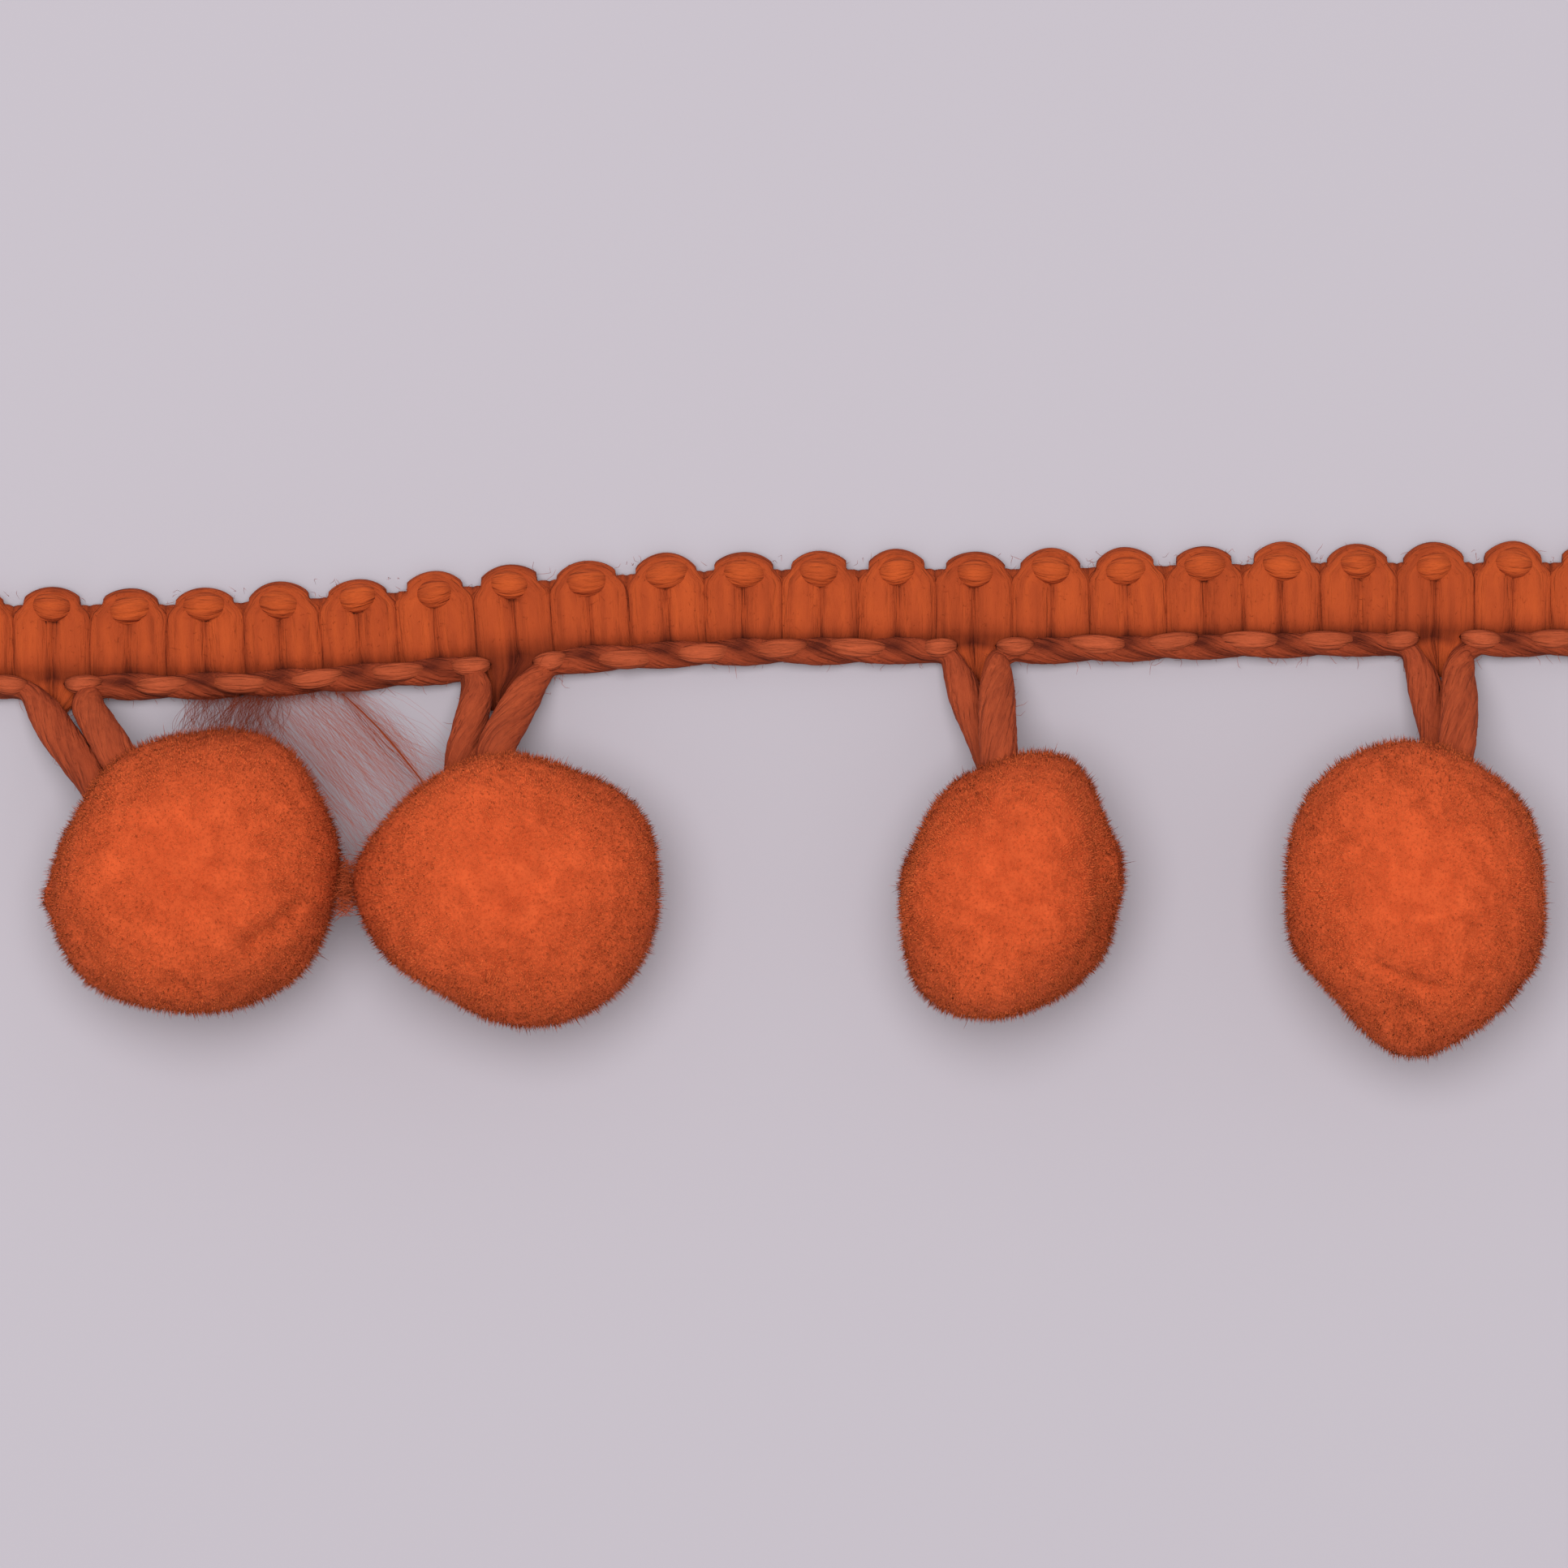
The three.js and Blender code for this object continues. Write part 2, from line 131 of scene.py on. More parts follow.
# Each pom pom: its middle in plan, its half sizes, its turn, its swells as bearing,
# elevation, size and spread in degrees, and the dents in its pile as the bearing and
# elevation of either end, the depth and the width, where a depth below zero is a tuft
POMS = (
    {
        "middle": (-35.5, -18.7),
        "half": (9.95, 10, 9.1),
        "turn": 0,
        "swells": (
            (50, 5, 1.1, 27),
            (145, 0, -0.65, 33),
            (208, -5, 0.9, 26),
            (320, -5, 0.85, 22),
            (318, 34, -0.35, 13),
        ),
        "dents": (
            (316, 44, 340, 34, 0.75, 1.0),
            (352, 41, 354, 38, 0.35, 0.5),
            (206, 28, 268, 36, 0.25, 0.7),
            (189, 0, 190, -3, -0.55, 0.9),
        ),
    },
    {
        "middle": (-13.3, -19.6),
        "half": (10.6, 9.3, 9),
        "turn": 0,
        "swells": (
            (178, 0, 0.75, 13),
            (232, 0, -0.62, 25),
            (287, 0, 0.62, 23),
            (150, 0, -0.3, 16),
            (20, 5, 0.35, 20),
        ),
        "dents": ((228, 26, 262, 40, 0.2, 0.8),),
    },
    {
        "middle": (21.1, -19.5),
        "half": (7.3, 9.9, 9.4),
        "turn": -22,
        "swells": (
            (38, 0, -0.45, 20),
            (78, 0, -0.2, 16),
            (110, 45, -0.3, 14),
            (320, -5, 1.4, 27),
        ),
        "dents": ((335, 26, 45, 26, 0.88, 2.4), (100, 50, 108, 80, 0.5, 0.5)),
    },
    {
        "middle": (49.5, -20.1),
        "half": (9.2, 10.6, 9.2),
        "turn": 0,
        "swells": (
            (130, 5, 0.85, 26),
            (227, 0, -0.6, 17),
            (270, -8, 0.85, 16),
            (308, 0, -0.5, 20),
            (262, 30, -0.55, 12),
        ),
        "dents": ((237, 50, 277, 45, 0.75, 0.55), (300, 36, 317, 10, 0.45, 0.8)),
    },
)
# The depth of the flat resting spot, and the slow waves in the skin: their size, and each
# one's three frequencies and phase
POM_FLAT = 0.4
LUMP_SIZE = 0.16
LUMP_WAVES = (
    (5.1, 2.3, 3.7, 0.4),
    (-3.4, 5.6, 1.9, 2.1),
    (2.2, -4.2, 5.3, 4),
)


def smoothstep(x, low, high):
    """0 below low and 1 above high, with the curve 3t^2 - 2t^3 between."""
    t = np.clip((x - low) / (high - low), 0, 1)
    return t * t * (3 - 2 * t)


def unit(v):
    """v divided by its length."""
    return v / np.maximum(np.linalg.norm(v, axis=-1, keepdims=True), 1e-9)


# What scrambles a cell's three coordinates and the seed into one number, and the shifts and
# multipliers that mix it, up to the largest number that is kept
CELL_PRIMES = np.array((73856093, 19349663, 83492791))
SEED_PRIME = 7919
MIXES = ((13, 1274126177), (15, 461845907))
LARGEST = 0x7FFFFFFF


def lattice_noise(points, seed):
    """Smooth noise from -1 to 1. Each whole-numbered corner of space has a height hashed from
    its coordinates, and a point blends its cell's eight corners by smoothstep."""
    cell = np.floor(points).astype(np.int64)
    share = smoothstep(points - cell, 0, 1)
    total = np.zeros(points.shape[:-1])
    for corner in np.ndindex(2, 2, 2):
        c = (cell + np.array(corner)) * CELL_PRIMES
        h = c[..., 0] ^ c[..., 1] ^ c[..., 2] ^ seed * SEED_PRIME
        for shift, multiplier in MIXES:
            h = (h ^ (h >> shift)) * multiplier & LARGEST
        weight = np.prod(np.where(corner, share, 1 - share), axis=-1)
        total += weight * (h / (LARGEST // 2) - 1)
    return total


def lie(along):
    """How far the heading's centreline lies to the side: a start and two smooth steps."""
    return LIE_START + sum(
        rise * smoothstep(along, low, high) for low, high, rise in LIE_STEPS
    )


def on_heading(along, across, height):
    """A point of the heading: across is measured square to the centreline at that place."""
    slope = lie(along + 0.5) - lie(along - 0.5)
    square = across / np.hypot(1, slope)
    return np.stack(
        np.broadcast_arrays(along - slope * square, lie(along) + square, height), axis=-1
    )


def tube_faces(tubes, rings, sides):
    """Triangles of tubes whose points run ring by ring, with a middle point for either end
    after the rings: two for each cell of the grid, and a fan at each end."""
    ring, side = np.meshgrid(np.arange(rings - 1), np.arange(sides), indexing="ij")
    a = (ring * sides + side).ravel()
    b = (ring * sides + (side + 1) % sides).ravel()
    wall = np.concatenate(
        (np.stack((a, a + sides, b), 1), np.stack((b, a + sides, b + sides), 1))
    )
    j = np.arange(sides)
    following = (j + 1) % sides
    top = (rings - 1) * sides
    start = np.stack((np.full(sides, rings * sides), j, following), 1)
    end = np.stack((np.full(sides, rings * sides + 1), top + following, top + j), 1)
    one = np.concatenate((wall, start, end))
    count = rings * sides + 2
    return (one[None] + (np.arange(tubes) * count)[:, None, None]).reshape(-1, 3)


def with_ends(rings):
    """The points of tubes of shape (tube, ring, side, 3), with the middle of the first and of
    the last ring added, as one list."""
    ends = np.stack((rings[:, 0].mean(1), rings[:, -1].mean(1)), 1)
    return np.concatenate((rings.reshape(len(rings), -1, 3), ends), 1).reshape(-1, 3)


def make_piece(
    name, points, faces, material, node, tone, chart=None, normals=None
):
    """A mesh object from points in millimetres and triangles, with smooth faces, a tone at
    each point, a chart (UV map) with one pair at each point, and shading directions of its
    own where the forms are too small to shade by themselves."""
    mesh = bpy.data.meshes.new(name)
    mesh.vertices.add(len(points))
    mesh.vertices.foreach_set("co", (points * MM).astype(np.float32).ravel())
    mesh.loops.add(faces.size)
    mesh.loops.foreach_set("vertex_index", faces.astype(np.int32).ravel())
    mesh.polygons.add(len(faces))
    mesh.polygons.foreach_set("loop_start", np.arange(0, faces.size, 3, dtype=np.int32))
    mesh.polygons.foreach_set("use_smooth", np.ones(len(faces), dtype=bool))
    layer = mesh.attributes.new("tone", "FLOAT", "POINT")
    layer.data.foreach_set("value", tone.astype(np.float32).ravel())
    if chart is not None:
        uv = mesh.uv_layers.new(name="chart")
        uv.data.foreach_set("uv", chart[faces.ravel()].astype(np.float32).ravel())
    mesh.update(calc_edges=True)
    mesh.validate()
    if normals is not None:
        mesh.normals_split_custom_set_from_vertices(normals.astype(np.float32))
    mesh.materials.append(material)
    piece = bpy.data.objects.new(name, mesh)
    bpy.context.scene.collection.objects.link(piece)
    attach(piece, "root")
    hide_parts(node)
    return piece


# Materials

# The colours, each as its place on the ramp and the colour: in the depths, in full light and
# between
PILE_STOPS = (
    (0.0, (0.2, 0.024, 0.006)),
    (1.0, (0.92, 0.17, 0.048)),
    (0.5, (0.62, 0.095, 0.025)),
)
BRAID_STOPS = (
    (0.0, (0.085, 0.01, 0.003)),
    (1.0, (0.52, 0.087, 0.017)),
    (0.5, (0.325, 0.049, 0.0115)),
)
EDGE_STOPS = (
    (0.0, (0.085, 0.012, 0.006)),
    (1.0, (0.49, 0.094, 0.034)),
    (0.5, (0.3, 0.053, 0.018)),
)
YARN_STOPS = (
    (0.0, (0.085, 0.011, 0.004)),
    (1.0, (0.5, 0.09, 0.028)),
    (0.5, (0.29, 0.047, 0.0155)),
)

# How matte the pile, the yarns and the floor are, and how little all of them shine
PILE_ROUGHNESS = 0.95
YARN_ROUGHNESS = 0.9
FLOOR_ROUGHNESS = 0.8
SHINE = 0.15

# The pile's mottling and grain, in patches for each metre, with the grain's height in metres,
# and the share of the ramp that the mottling shifts
MOTTLE_SCALE = 900
MOTTLE_DETAIL = 4
MOTTLE_SHARE = 0.16
GRAIN_SCALE = 3200
GRAIN_DETAIL = 3
GRAIN_STRENGTH = 0.6
GRAIN_HEIGHT = 0.0003

# The yarns' filaments: streaks for each millimetre along the yarn and round it, with their
# height in metres, and the share of the ramp that they shift
BRAID_STREAKS = (0.45, 2.8, 1)
YARN_STREAKS = (0.4, 3, 1)
STREAK_DETAIL = 6
STREAK_SHARE = 0.5
STREAK_HEIGHT = 0.0005


def new_material(name, roughness):
    """A matte material whose shader reads a bump and a colour that the callers build."""
    material = bpy.data.materials.new(name)
    material.use_nodes = True
    nodes, links = material.node_tree.nodes, material.node_tree.links
    shader = nodes["Principled BSDF"]
    shader.inputs["Roughness"].default_value = roughness
    shader.inputs["Specular IOR Level"].default_value = SHINE
    return material, nodes, links, shader


def colour_from_tone(nodes, links, shader, stops, noise, share):
    """The base colour runs through the stops by the piece's own tone, shifted by a noise."""
    tone = nodes.new("ShaderNodeAttribute")
    tone.attribute_name = "tone"
    shift = nodes.new("ShaderNodeMath")
    shift.operation = "MULTIPLY_ADD"
    shift.inputs[1].default_value = share
    links.new(noise.outputs[0], shift.inputs[0])
    links.new(tone.outputs["Fac"], shift.inputs[2])
    lower = nodes.new("ShaderNodeMath")
    lower.operation = "SUBTRACT"
    lower.inputs[1].default_value = share / 2
    links.new(shift.outputs[0], lower.inputs[0])
    ramp = nodes.new("ShaderNodeValToRGB")
    for i, (place, colour) in enumerate(stops):
        stop = ramp.color_ramp.elements[i] if i < 2 else ramp.color_ramp.elements.new(place)
        stop.position = place
        stop.color = (*colour, 1)
    links.new(lower.outputs[0], ramp.inputs[0])
    links.new(ramp.outputs[0], shader.inputs["Base Color"])


def noise_node(nodes, links, source, scale, detail, stretch=(1, 1, 1)):
    """A noise read from a coordinate that is stretched along its own axes first."""
    mapping = nodes.new("ShaderNodeMapping")
    mapping.inputs["Scale"].default_value = stretch
    links.new(source, mapping.inputs["Vector"])
    noise = nodes.new("ShaderNodeTexNoise")
    noise.inputs["Scale"].default_value = scale
    noise.inputs["Detail"].default_value = detail
    links.new(mapping.outputs[0], noise.inputs["Vector"])
    return noise


def add_bump(nodes, links, shader, noise, strength, distance):
    """The noise's height tilts the shader's normal."""
    bump = nodes.new("ShaderNodeBump")
    bump.inputs["Strength"].default_value = strength
    bump.inputs["Distance"].default_value = distance
    links.new(noise.outputs[0], bump.inputs["Height"])
    links.new(bump.outputs[0], shader.inputs["Normal"])


def pile_material():
    """Clipped pile: a fine grain and a soft mottling read in the piece's own space."""
    material, nodes, links, shader = new_material("clipped_pile", PILE_ROUGHNESS)
    where = nodes.new("ShaderNodeTexCoord").outputs["Object"]
    mottle = noise_node(nodes, links, where, MOTTLE_SCALE, MOTTLE_DETAIL)
    colour_from_tone(nodes, links, shader, PILE_STOPS, mottle, MOTTLE_SHARE)
    grain = noise_node(nodes, links, where, GRAIN_SCALE, GRAIN_DETAIL)
    add_bump(nodes, links, shader, grain, GRAIN_STRENGTH, GRAIN_HEIGHT)
    return material


def yarn_material(name, stops, streaks_for_each_mm):
    """Soft spun yarn: streaks of fine filaments along the piece's own chart."""
    material, nodes, links, shader = new_material(name, YARN_ROUGHNESS)
    chart = nodes.new("ShaderNodeUVMap")
    chart.uv_map = "chart"
    streaks = noise_node(
        nodes, links, chart.outputs[0], 1, STREAK_DETAIL, streaks_for_each_mm
    )
    colour_from_tone(nodes, links, shader, stops, streaks, STREAK_SHARE)
    add_bump(nodes, links, shader, streaks, 1, STREAK_HEIGHT)
    return material


PILE = pile_material()
BRAID = yarn_material("ribbed_braid", BRAID_STOPS, BRAID_STREAKS)
EDGE = yarn_material("edge_stitch_yarn", EDGE_STOPS, BRAID_STREAKS)
YARN = yarn_material("twisted_yarn", YARN_STOPS, YARN_STREAKS)


# The heading


def scallop_table():
    """Each scallop's number, middle along the heading, shift to the side and rise, by the same
    sines of its number as the solid has."""
    number = np.arange(SCALLOP_COUNT)
    middle = (number + 0.5) * SCALLOP_PITCH - HEADING_LENGTH / 2
    shift = UNEVEN_SHIFT * np.sin(1.7 * number + 1)
    rise = SCALLOP_RISE * (1 + UNEVEN_RISE * np.sin(2.4 * number)) + SCALLOP_RISE_GROWTH * middle
    return number, middle, shift, rise


# The ribs. Places across the heading: their low end, where the arch begins, and the
# shoulders, above which the cap is narrower. The arch takes this share of the yarn.
RIB_LOW = -3.0
ARCH_LOW = 1.45
SHOULDER = 2.5
ARCH_SHARE = 0.55
# Half widths, how far a rib may reach from the scallop's middle, and what the arch loses
RIB_HALF_WIDTH = 1.64
ARCH_HALF_WIDTH = 1.1
RIB_REACH = 2.75
CAP_HALF_WIDTH = 2.02
CAP_UNEVENNESS = 0.1
CAP_NARROWING = 0.1
ARCH_CLOSING = 0.2
ARCH_THINNING = 0.12
# Heights above the back, what the dip under the edge yarn takes off them, and how far above
# the low end it starts and is full
RIB_HEIGHT = 0.72
RIB_HALF_HEIGHT = 0.98
DIP_DEPTH = 0.32
DIP_THINNING = 0.5
DIP_START = 1.5
DIP_FULL = 0.2
# The section's squareness, 2 for an ellipse, and the grooves between its plies
RIB_SQUARENESS = 2.8
RIB_GROOVES = 4.5
GROOVE_DEPTH = 0.07
RIB_GRAIN = 0.06
RIB_GRAIN_SCALE = np.array((2.6, 1.1, 2.6))
# Over each loop: the scallop's number, the low end of its ribs, how far they lean to the side
# there, and how much paler they get, which lifts the painted shade at their low ends, a value
# below zero deepening it. They draw together by a share between two places.
LOOP_FILLS = (
    (3, -5.3, 0, 0.44),
    (9, -6.2, -1.25, -0.02),
    (15, -5.3, 0.1, 0.46),
    (21, -5.4, 0.25, 0.42),
)
FILL_DRAW = 0.72
FILL_DRAW_SPAN = (2.5, 5.2)
FILL_LEAN_SPAN = (2.8, 5.3)
FILL_TONE_SPAN = (2.5, 3.3)
# Tones: of the ribs, of the painted shade along the slit between them as place, size and
# strength, and of the painted shade at their low ends, where they tuck under the edge yarn, and
# at the hole under each scallop's middle
RIB_TONE = 0.52
SLIT_HALF_WIDTH = 0.28
SLIT_SHADES = ((1.1, 0.6, 0.2), (-2, 0.9, 0.15))
LOW_SHADE = 0.17
LOW_SHADE_SPAN = (-2.2, -0.2)
HOLE_SHADE = 0.3
HOLE_SHADE_OVER_LOOP = 0.1
HOLE_HALF_WIDTH = 0.9
# The chart: the rib yarn's length, the step from one yarn's streaks to the next one's, and
# half the way round it
RIB_LENGTH = 13
RIB_CHART_STEP = 13.7
RIB_HALF_ROUND = 3.4
RIB_RINGS = 48
RIB_SIDES = 30


def hairpins():
    """The ribs: one thick yarn for each scallop. Its centreline runs straight up one rib, over
    a half circle and down the next rib. Its section is a superellipse with fine grooves, laid
    flat on the back, and it dips where it tucks under the edge yarn. Above the shoulders of the
    ribs it is drawn in and held to the cap's width, and over a loop its low ends draw together
    to fill the place between the legs."""
    number, middle, shift, rise = scallop_table()
    over_loop, low_end, lean, paler = np.zeros((4, SCALLOP_COUNT, 1))
    low_end += RIB_LOW
    for scallop, *values in LOOP_FILLS:
        over_loop[scallop] = 1
        low_end[scallop], lean[scallop], paler[scallop] = values

    # The centreline, by the place t along the yarn from one low end to the other
    t = np.linspace(-1, 1, RIB_RINGS)
    s = np.abs(t)
    turn = np.clip((ARCH_SHARE - s) / ARCH_SHARE, 0, 1) * np.pi / 2
    up = smoothstep(turn, 0, np.pi / 2)
    arch_top = VALLEY_EDGE + rise - ARCH_HALF_WIDTH
    v = low_end + (ARCH_LOW - low_end) * np.clip((1 - s) / (1 - ARCH_SHARE), 0, 1)[None]
    draw = 1 - FILL_DRAW * over_loop * smoothstep(-v, *FILL_DRAW_SPAN)
    q = draw * (np.sign(t) * (RIB_PITCH / 2 - ARCH_CLOSING * up) * np.cos(turn))[None]
    v = v + (arch_top[:, None] - ARCH_LOW) * np.sin(turn)[None]
    along = middle[:, None] + q + shift[:, None] * up[None]
    along = along + lean * smoothstep(-v, *FILL_LEAN_SPAN)
    along = along + 0.05 * np.sin(number[:, None] * 2.1 + 3 * t[None])
    dip = 1 - smoothstep(v, RIB_LOW + DIP_FULL, RIB_LOW + DIP_START)
    centre_z = RIB_HEIGHT - DIP_DEPTH * dip
    half_width = draw * (RIB_HALF_WIDTH + (ARCH_HALF_WIDTH - RIB_HALF_WIDTH) * up)[None]
    half_height = (RIB_HALF_HEIGHT - ARCH_THINNING * up[None] - DIP_THINNING * dip) * (
        1 + 0.05 * np.sin(number[:, None] * 3.3 + np.sign(t) * 1.3)
    )
    d_along = np.gradient(along, axis=1)
    d_v = np.gradient(v, axis=1)
    size = np.hypot(d_along, d_v)
    out_along, out_v = d_v / size, -d_along / size

    # The section round it, laid out square to the centreline
    angle = np.linspace(0, 2 * np.pi, RIB_SIDES, endpoint=False)
    power = 2 / RIB_SQUARENESS
    across = np.sign(np.cos(angle)) * np.abs(np.cos(angle)) ** power
    over = np.sign(np.sin(angle)) * np.abs(np.sin(angle)) ** power
    slow = 0.5 * np.sin(2.3 * t[None] + number[:, None] * 1.7)
    groove = RIB_GROOVES * across + slow[:, :, None] + 2 * number[:, None, None]
    groove = np.abs(np.sin(groove))
    ply = 1 - GROOVE_DEPTH * (1 - groove) ** 2
    w = half_width[:, :, None] * across
    h = half_height[:, :, None] * over * ply
    a = along[:, :, None] - out_along[:, :, None] * w
    b = v[:, :, None] - out_v[:, :, None] * w
    cap = smoothstep(b, SHOULDER - 0.5, SHOULDER + 0.15)
    centre = middle[:, None, None] + shift[:, None, None] * cap
    cap_width = CAP_HALF_WIDTH + CAP_UNEVENNESS * np.sin(1.3 * number)[:, None, None]
    limit = RIB_REACH - (RIB_REACH - cap_width) * cap
    narrow = 1 - CAP_NARROWING * smoothstep(b, SHOULDER - 0.8, SHOULDER)
    a = centre + np.clip((a - centre) * narrow, -limit, limit)
    z = np.maximum(centre_z[:, :, None] + h, 0)
    rings = on_heading(a, b, z)
    grain = lattice_noise(rings * RIB_GRAIN_SCALE, 11)
    rings[..., 2] = np.maximum(rings[..., 2] + RIB_GRAIN * grain * (z > 0.05), 0)

    # The tone: painted shade in the grooves, painted light on the higher parts and painted shade
    # on the lower ones, and painted shade in the slit, at the hole and low down
    from_slit = np.abs(a - middle[:, None, None])
    tone = RIB_TONE + 0.12 * (groove - 0.6) + 0.04 * np.sin(number * 4.1)[:, None, None]
    tone = tone + 0.2 * np.clip(z - 1.5, -1, 1)
    slit_shade = sum(depth * np.exp(-(((b - at) / far) ** 2)) for at, far, depth in SLIT_SHADES)
    faint = (0.3 + 0.7 * np.abs(np.sin(1.9 * number + 0.4)))[:, None, None]
    in_slit = np.exp(-((from_slit / SLIT_HALF_WIDTH) ** 2)) * (b < 2.2)
    tone = tone - faint * slit_shade * in_slit
    tone = tone - LOW_SHADE * (1 - smoothstep(b, *LOW_SHADE_SPAN))
    tone = tone + paler[:, :, None] * smoothstep(-b, *FILL_TONE_SPAN)
    shade = HOLE_SHADE + (HOLE_SHADE_OVER_LOOP - HOLE_SHADE) * over_loop
    shade = shade[:, :, None] * dip[:, :, None]
    tone = tone - shade * np.exp(-((from_slit / HOLE_HALF_WIDTH) ** 2))
    tone = tone + 0.035 * np.sin(5.1 * number[:, None] + 2 * np.sign(t[None]))[:, :, None]

    length = np.linspace(0, RIB_LENGTH, RIB_RINGS)
    u = length[None, :, None] + RIB_CHART_STEP * number[:, None, None]
    around = np.minimum(angle, 2 * np.pi - angle) / np.pi * RIB_HALF_ROUND
    chart = np.stack(np.broadcast_arrays(u, np.broadcast_to(around, z.shape)), -1)
    return rings, tone, chart


# The puffed yarns: how fast they swell, their grooves, their bow to the side and downwards, their
# grain, their tone, to which painted light and shade are added, and their chart
PUFF_RINGS = 21
PUFF_SIDES = 18
PUFF_SWELL = 0.55
PUFF_GROOVES = 3.5
PUFF_BOW = 0.12
PUFF_DIVE = 0.4
PUFF_GRAIN = 0.04
PUFF_GRAIN_SCALE = 2.5
PUFF_TONE = 0.5
PUFF_CHART_STEP = 9.1
PUFF_HALF_ROUND = 2.6
# The valleys beside the loops, counted from the heading's middle
VALLEYS_BY_LOOPS = (-9, -8, -3, -2, 3, 4, 9, 10)


def puffed_stitches(number, along, across, height, half_length, half_width, half_height, tilt):
    """Short thick yarns that lie along the heading. Each section swells from nothing to full
    and back by (1 - t^2)^0.55 along the yarn's length, which is nearly a half ellipse, with a
    few fine grooves, and the yarn is bowed, so that its ends dive."""
    t = np.linspace(-1, 1, PUFF_RINGS)[None, :, None]
    n, along, across, half_length, tilt = (
        np.asarray(x, float).reshape(-1, 1, 1) for x in (number, along, across, half_length, tilt)
    )
    swell = np.maximum(1 - t * t, 0) ** PUFF_SWELL
    angle = np.linspace(0, 2 * np.pi, PUFF_SIDES, endpoint=False)
    groove = np.abs(np.sin(PUFF_GROOVES * angle + 0.8 * t + n))
    ply = 1 - GROOVE_DEPTH * (1 - groove) ** 2
    q = half_length * t
    a = along + q + 0 * angle
    b = across - PUFF_BOW * (1 - t * t) + tilt * q + half_width * swell * np.cos(angle) * ply
    z = height - PUFF_DIVE * t * t + half_height * swell * np.sin(angle) * ply
    rings = on_heading(a, b, z)
    rings[..., 2] += PUFF_GRAIN * lattice_noise(rings * PUFF_GRAIN_SCALE, 23)
    # Painted light on the upper side, painted shade underneath, in the grooves and at the ends
    # where the yarn dives, and a little unevenness from yarn to yarn
    tone = PUFF_TONE + 0.25 * np.sin(angle) * swell
    tone = tone + 0.12 * (groove - 0.6) + 0.05 * np.sin(n * 3.7) - 0.12 * t**4
    around = np.minimum(angle, 2 * np.pi - angle) / np.pi * PUFF_HALF_ROUND
    u = q + PUFF_CHART_STEP * n + 0 * angle
    return rings, tone, np.stack(np.broadcast_arrays(u, around), -1)


def top_stitches():
    """The puffed stitch on each scallop."""
    number, middle, shift, rise = scallop_table()
    return puffed_stitches(
        number,
        along=middle + 0.8 * shift,
        across=2.5 + 0.1 * np.sin(number * 2.9) + 0.4 * (rise - SCALLOP_RISE),
        height=1.44,
        half_length=1.62 + 0.12 * np.sin(number * 5.3),
        half_width=1.02,
        half_height=0.86,
        tilt=0.1 * np.sin(number * 1.9),
    )


def edge_stitches():
    """The stitches that hold the carrier yarn to the heading, one over it at each valley. They
    are shorter beside the loops, and a bell curve sinks them near the second loop."""
    number = np.arange(1 - SCALLOP_COUNT // 2, SCALLOP_COUNT // 2)
    by_loop = np.isin(number, VALLEYS_BY_LOOPS)
    at = number * SCALLOP_PITCH
    sink = -0.25 * np.exp(-(((at + 3.5) / 4) ** 2))
    return puffed_stitches(
        number + 0.4,
        along=at + 0.75 * smoothstep(at, -10, 30) - 0.4 + 0.12 * np.sin(number * 2.7),
        across=-2.93 + 0.25 * smoothstep(at, 0, 25) + sink + 0.06 * np.sin(number * 1.3),
        height=1.95,
        half_length=np.where(by_loop, 1.4, 2.1) + 0.12 * np.sin(number * 3.9),
        half_width=0.7,
        half_height=0.62,
        tilt=0.07 * np.sin(number * 2.3),
    )


# The web's section, as place across the heading and height, its margin at the cut ends, how
# finely it is cut along each scallop, how wide each valley's parting is, and its tones: of the
# raised edge, and of the inner part under the ribs, dark with painted shade
WEB_SECTION = np.array(
    (
        (-2.3, 0.02),
        (-2.5, 0.1),
        (-2.3, 0.5),
        (-1.2, 0.9),
        (0.8, 1.0),
        (1.4, 1.2),
        (2.0, 1.35),
        (2.45, 1.2),
        (2.66, 0.8),
        (2.64, 0.3),
        (2.4, 0.02),
    )
)
WEB_MARGIN = 0.3
WEB_RINGS_A_SCALLOP = 20
PARTING_HALF_WIDTH = 0.16
WEB_EDGE_TONE = 0.46
WEB_INNER_SHADE = 0.15
WEB_GRAIN_SCALE = np.array((3.5, 0.6, 1))


def web():
    """The crossing yarns behind the ribs: a flat strip along the heading, whose section is a
    low box with a raised upper edge, which shows between the scallops. A bell curve round each
    valley parts that edge."""
    end = HEADING_LENGTH / 2 - WEB_MARGIN
    along = np.linspace(-end, end, SCALLOP_COUNT * WEB_RINGS_A_SCALLOP + 1)[None, :, None]
    v, z = WEB_SECTION.T
    from_valley = along - np.round(along / SCALLOP_PITCH) * SCALLOP_PITCH
    parting = np.exp(-((from_valley / PARTING_HALF_WIDTH) ** 2))
    rings = on_heading(along, v - 0.1 * parting * (v > 2), z * (1 - 0.2 * parting * (v > 0)))
    rings[..., 1] += 0.05 * lattice_noise(rings * 1.4, 29)
    # Painted shade: dark on the inner part under the ribs and in each valley's parting
    tone = np.where(v > 1, WEB_EDGE_TONE, WEB_INNER_SHADE) - 0.25 * parting * (v > 0)
    tone = tone + 0.06 * lattice_noise(rings * WEB_GRAIN_SCALE, 31)
    chart = np.stack(np.broadcast_arrays(v * 1.4, along), -1)
    return rings, tone, chart


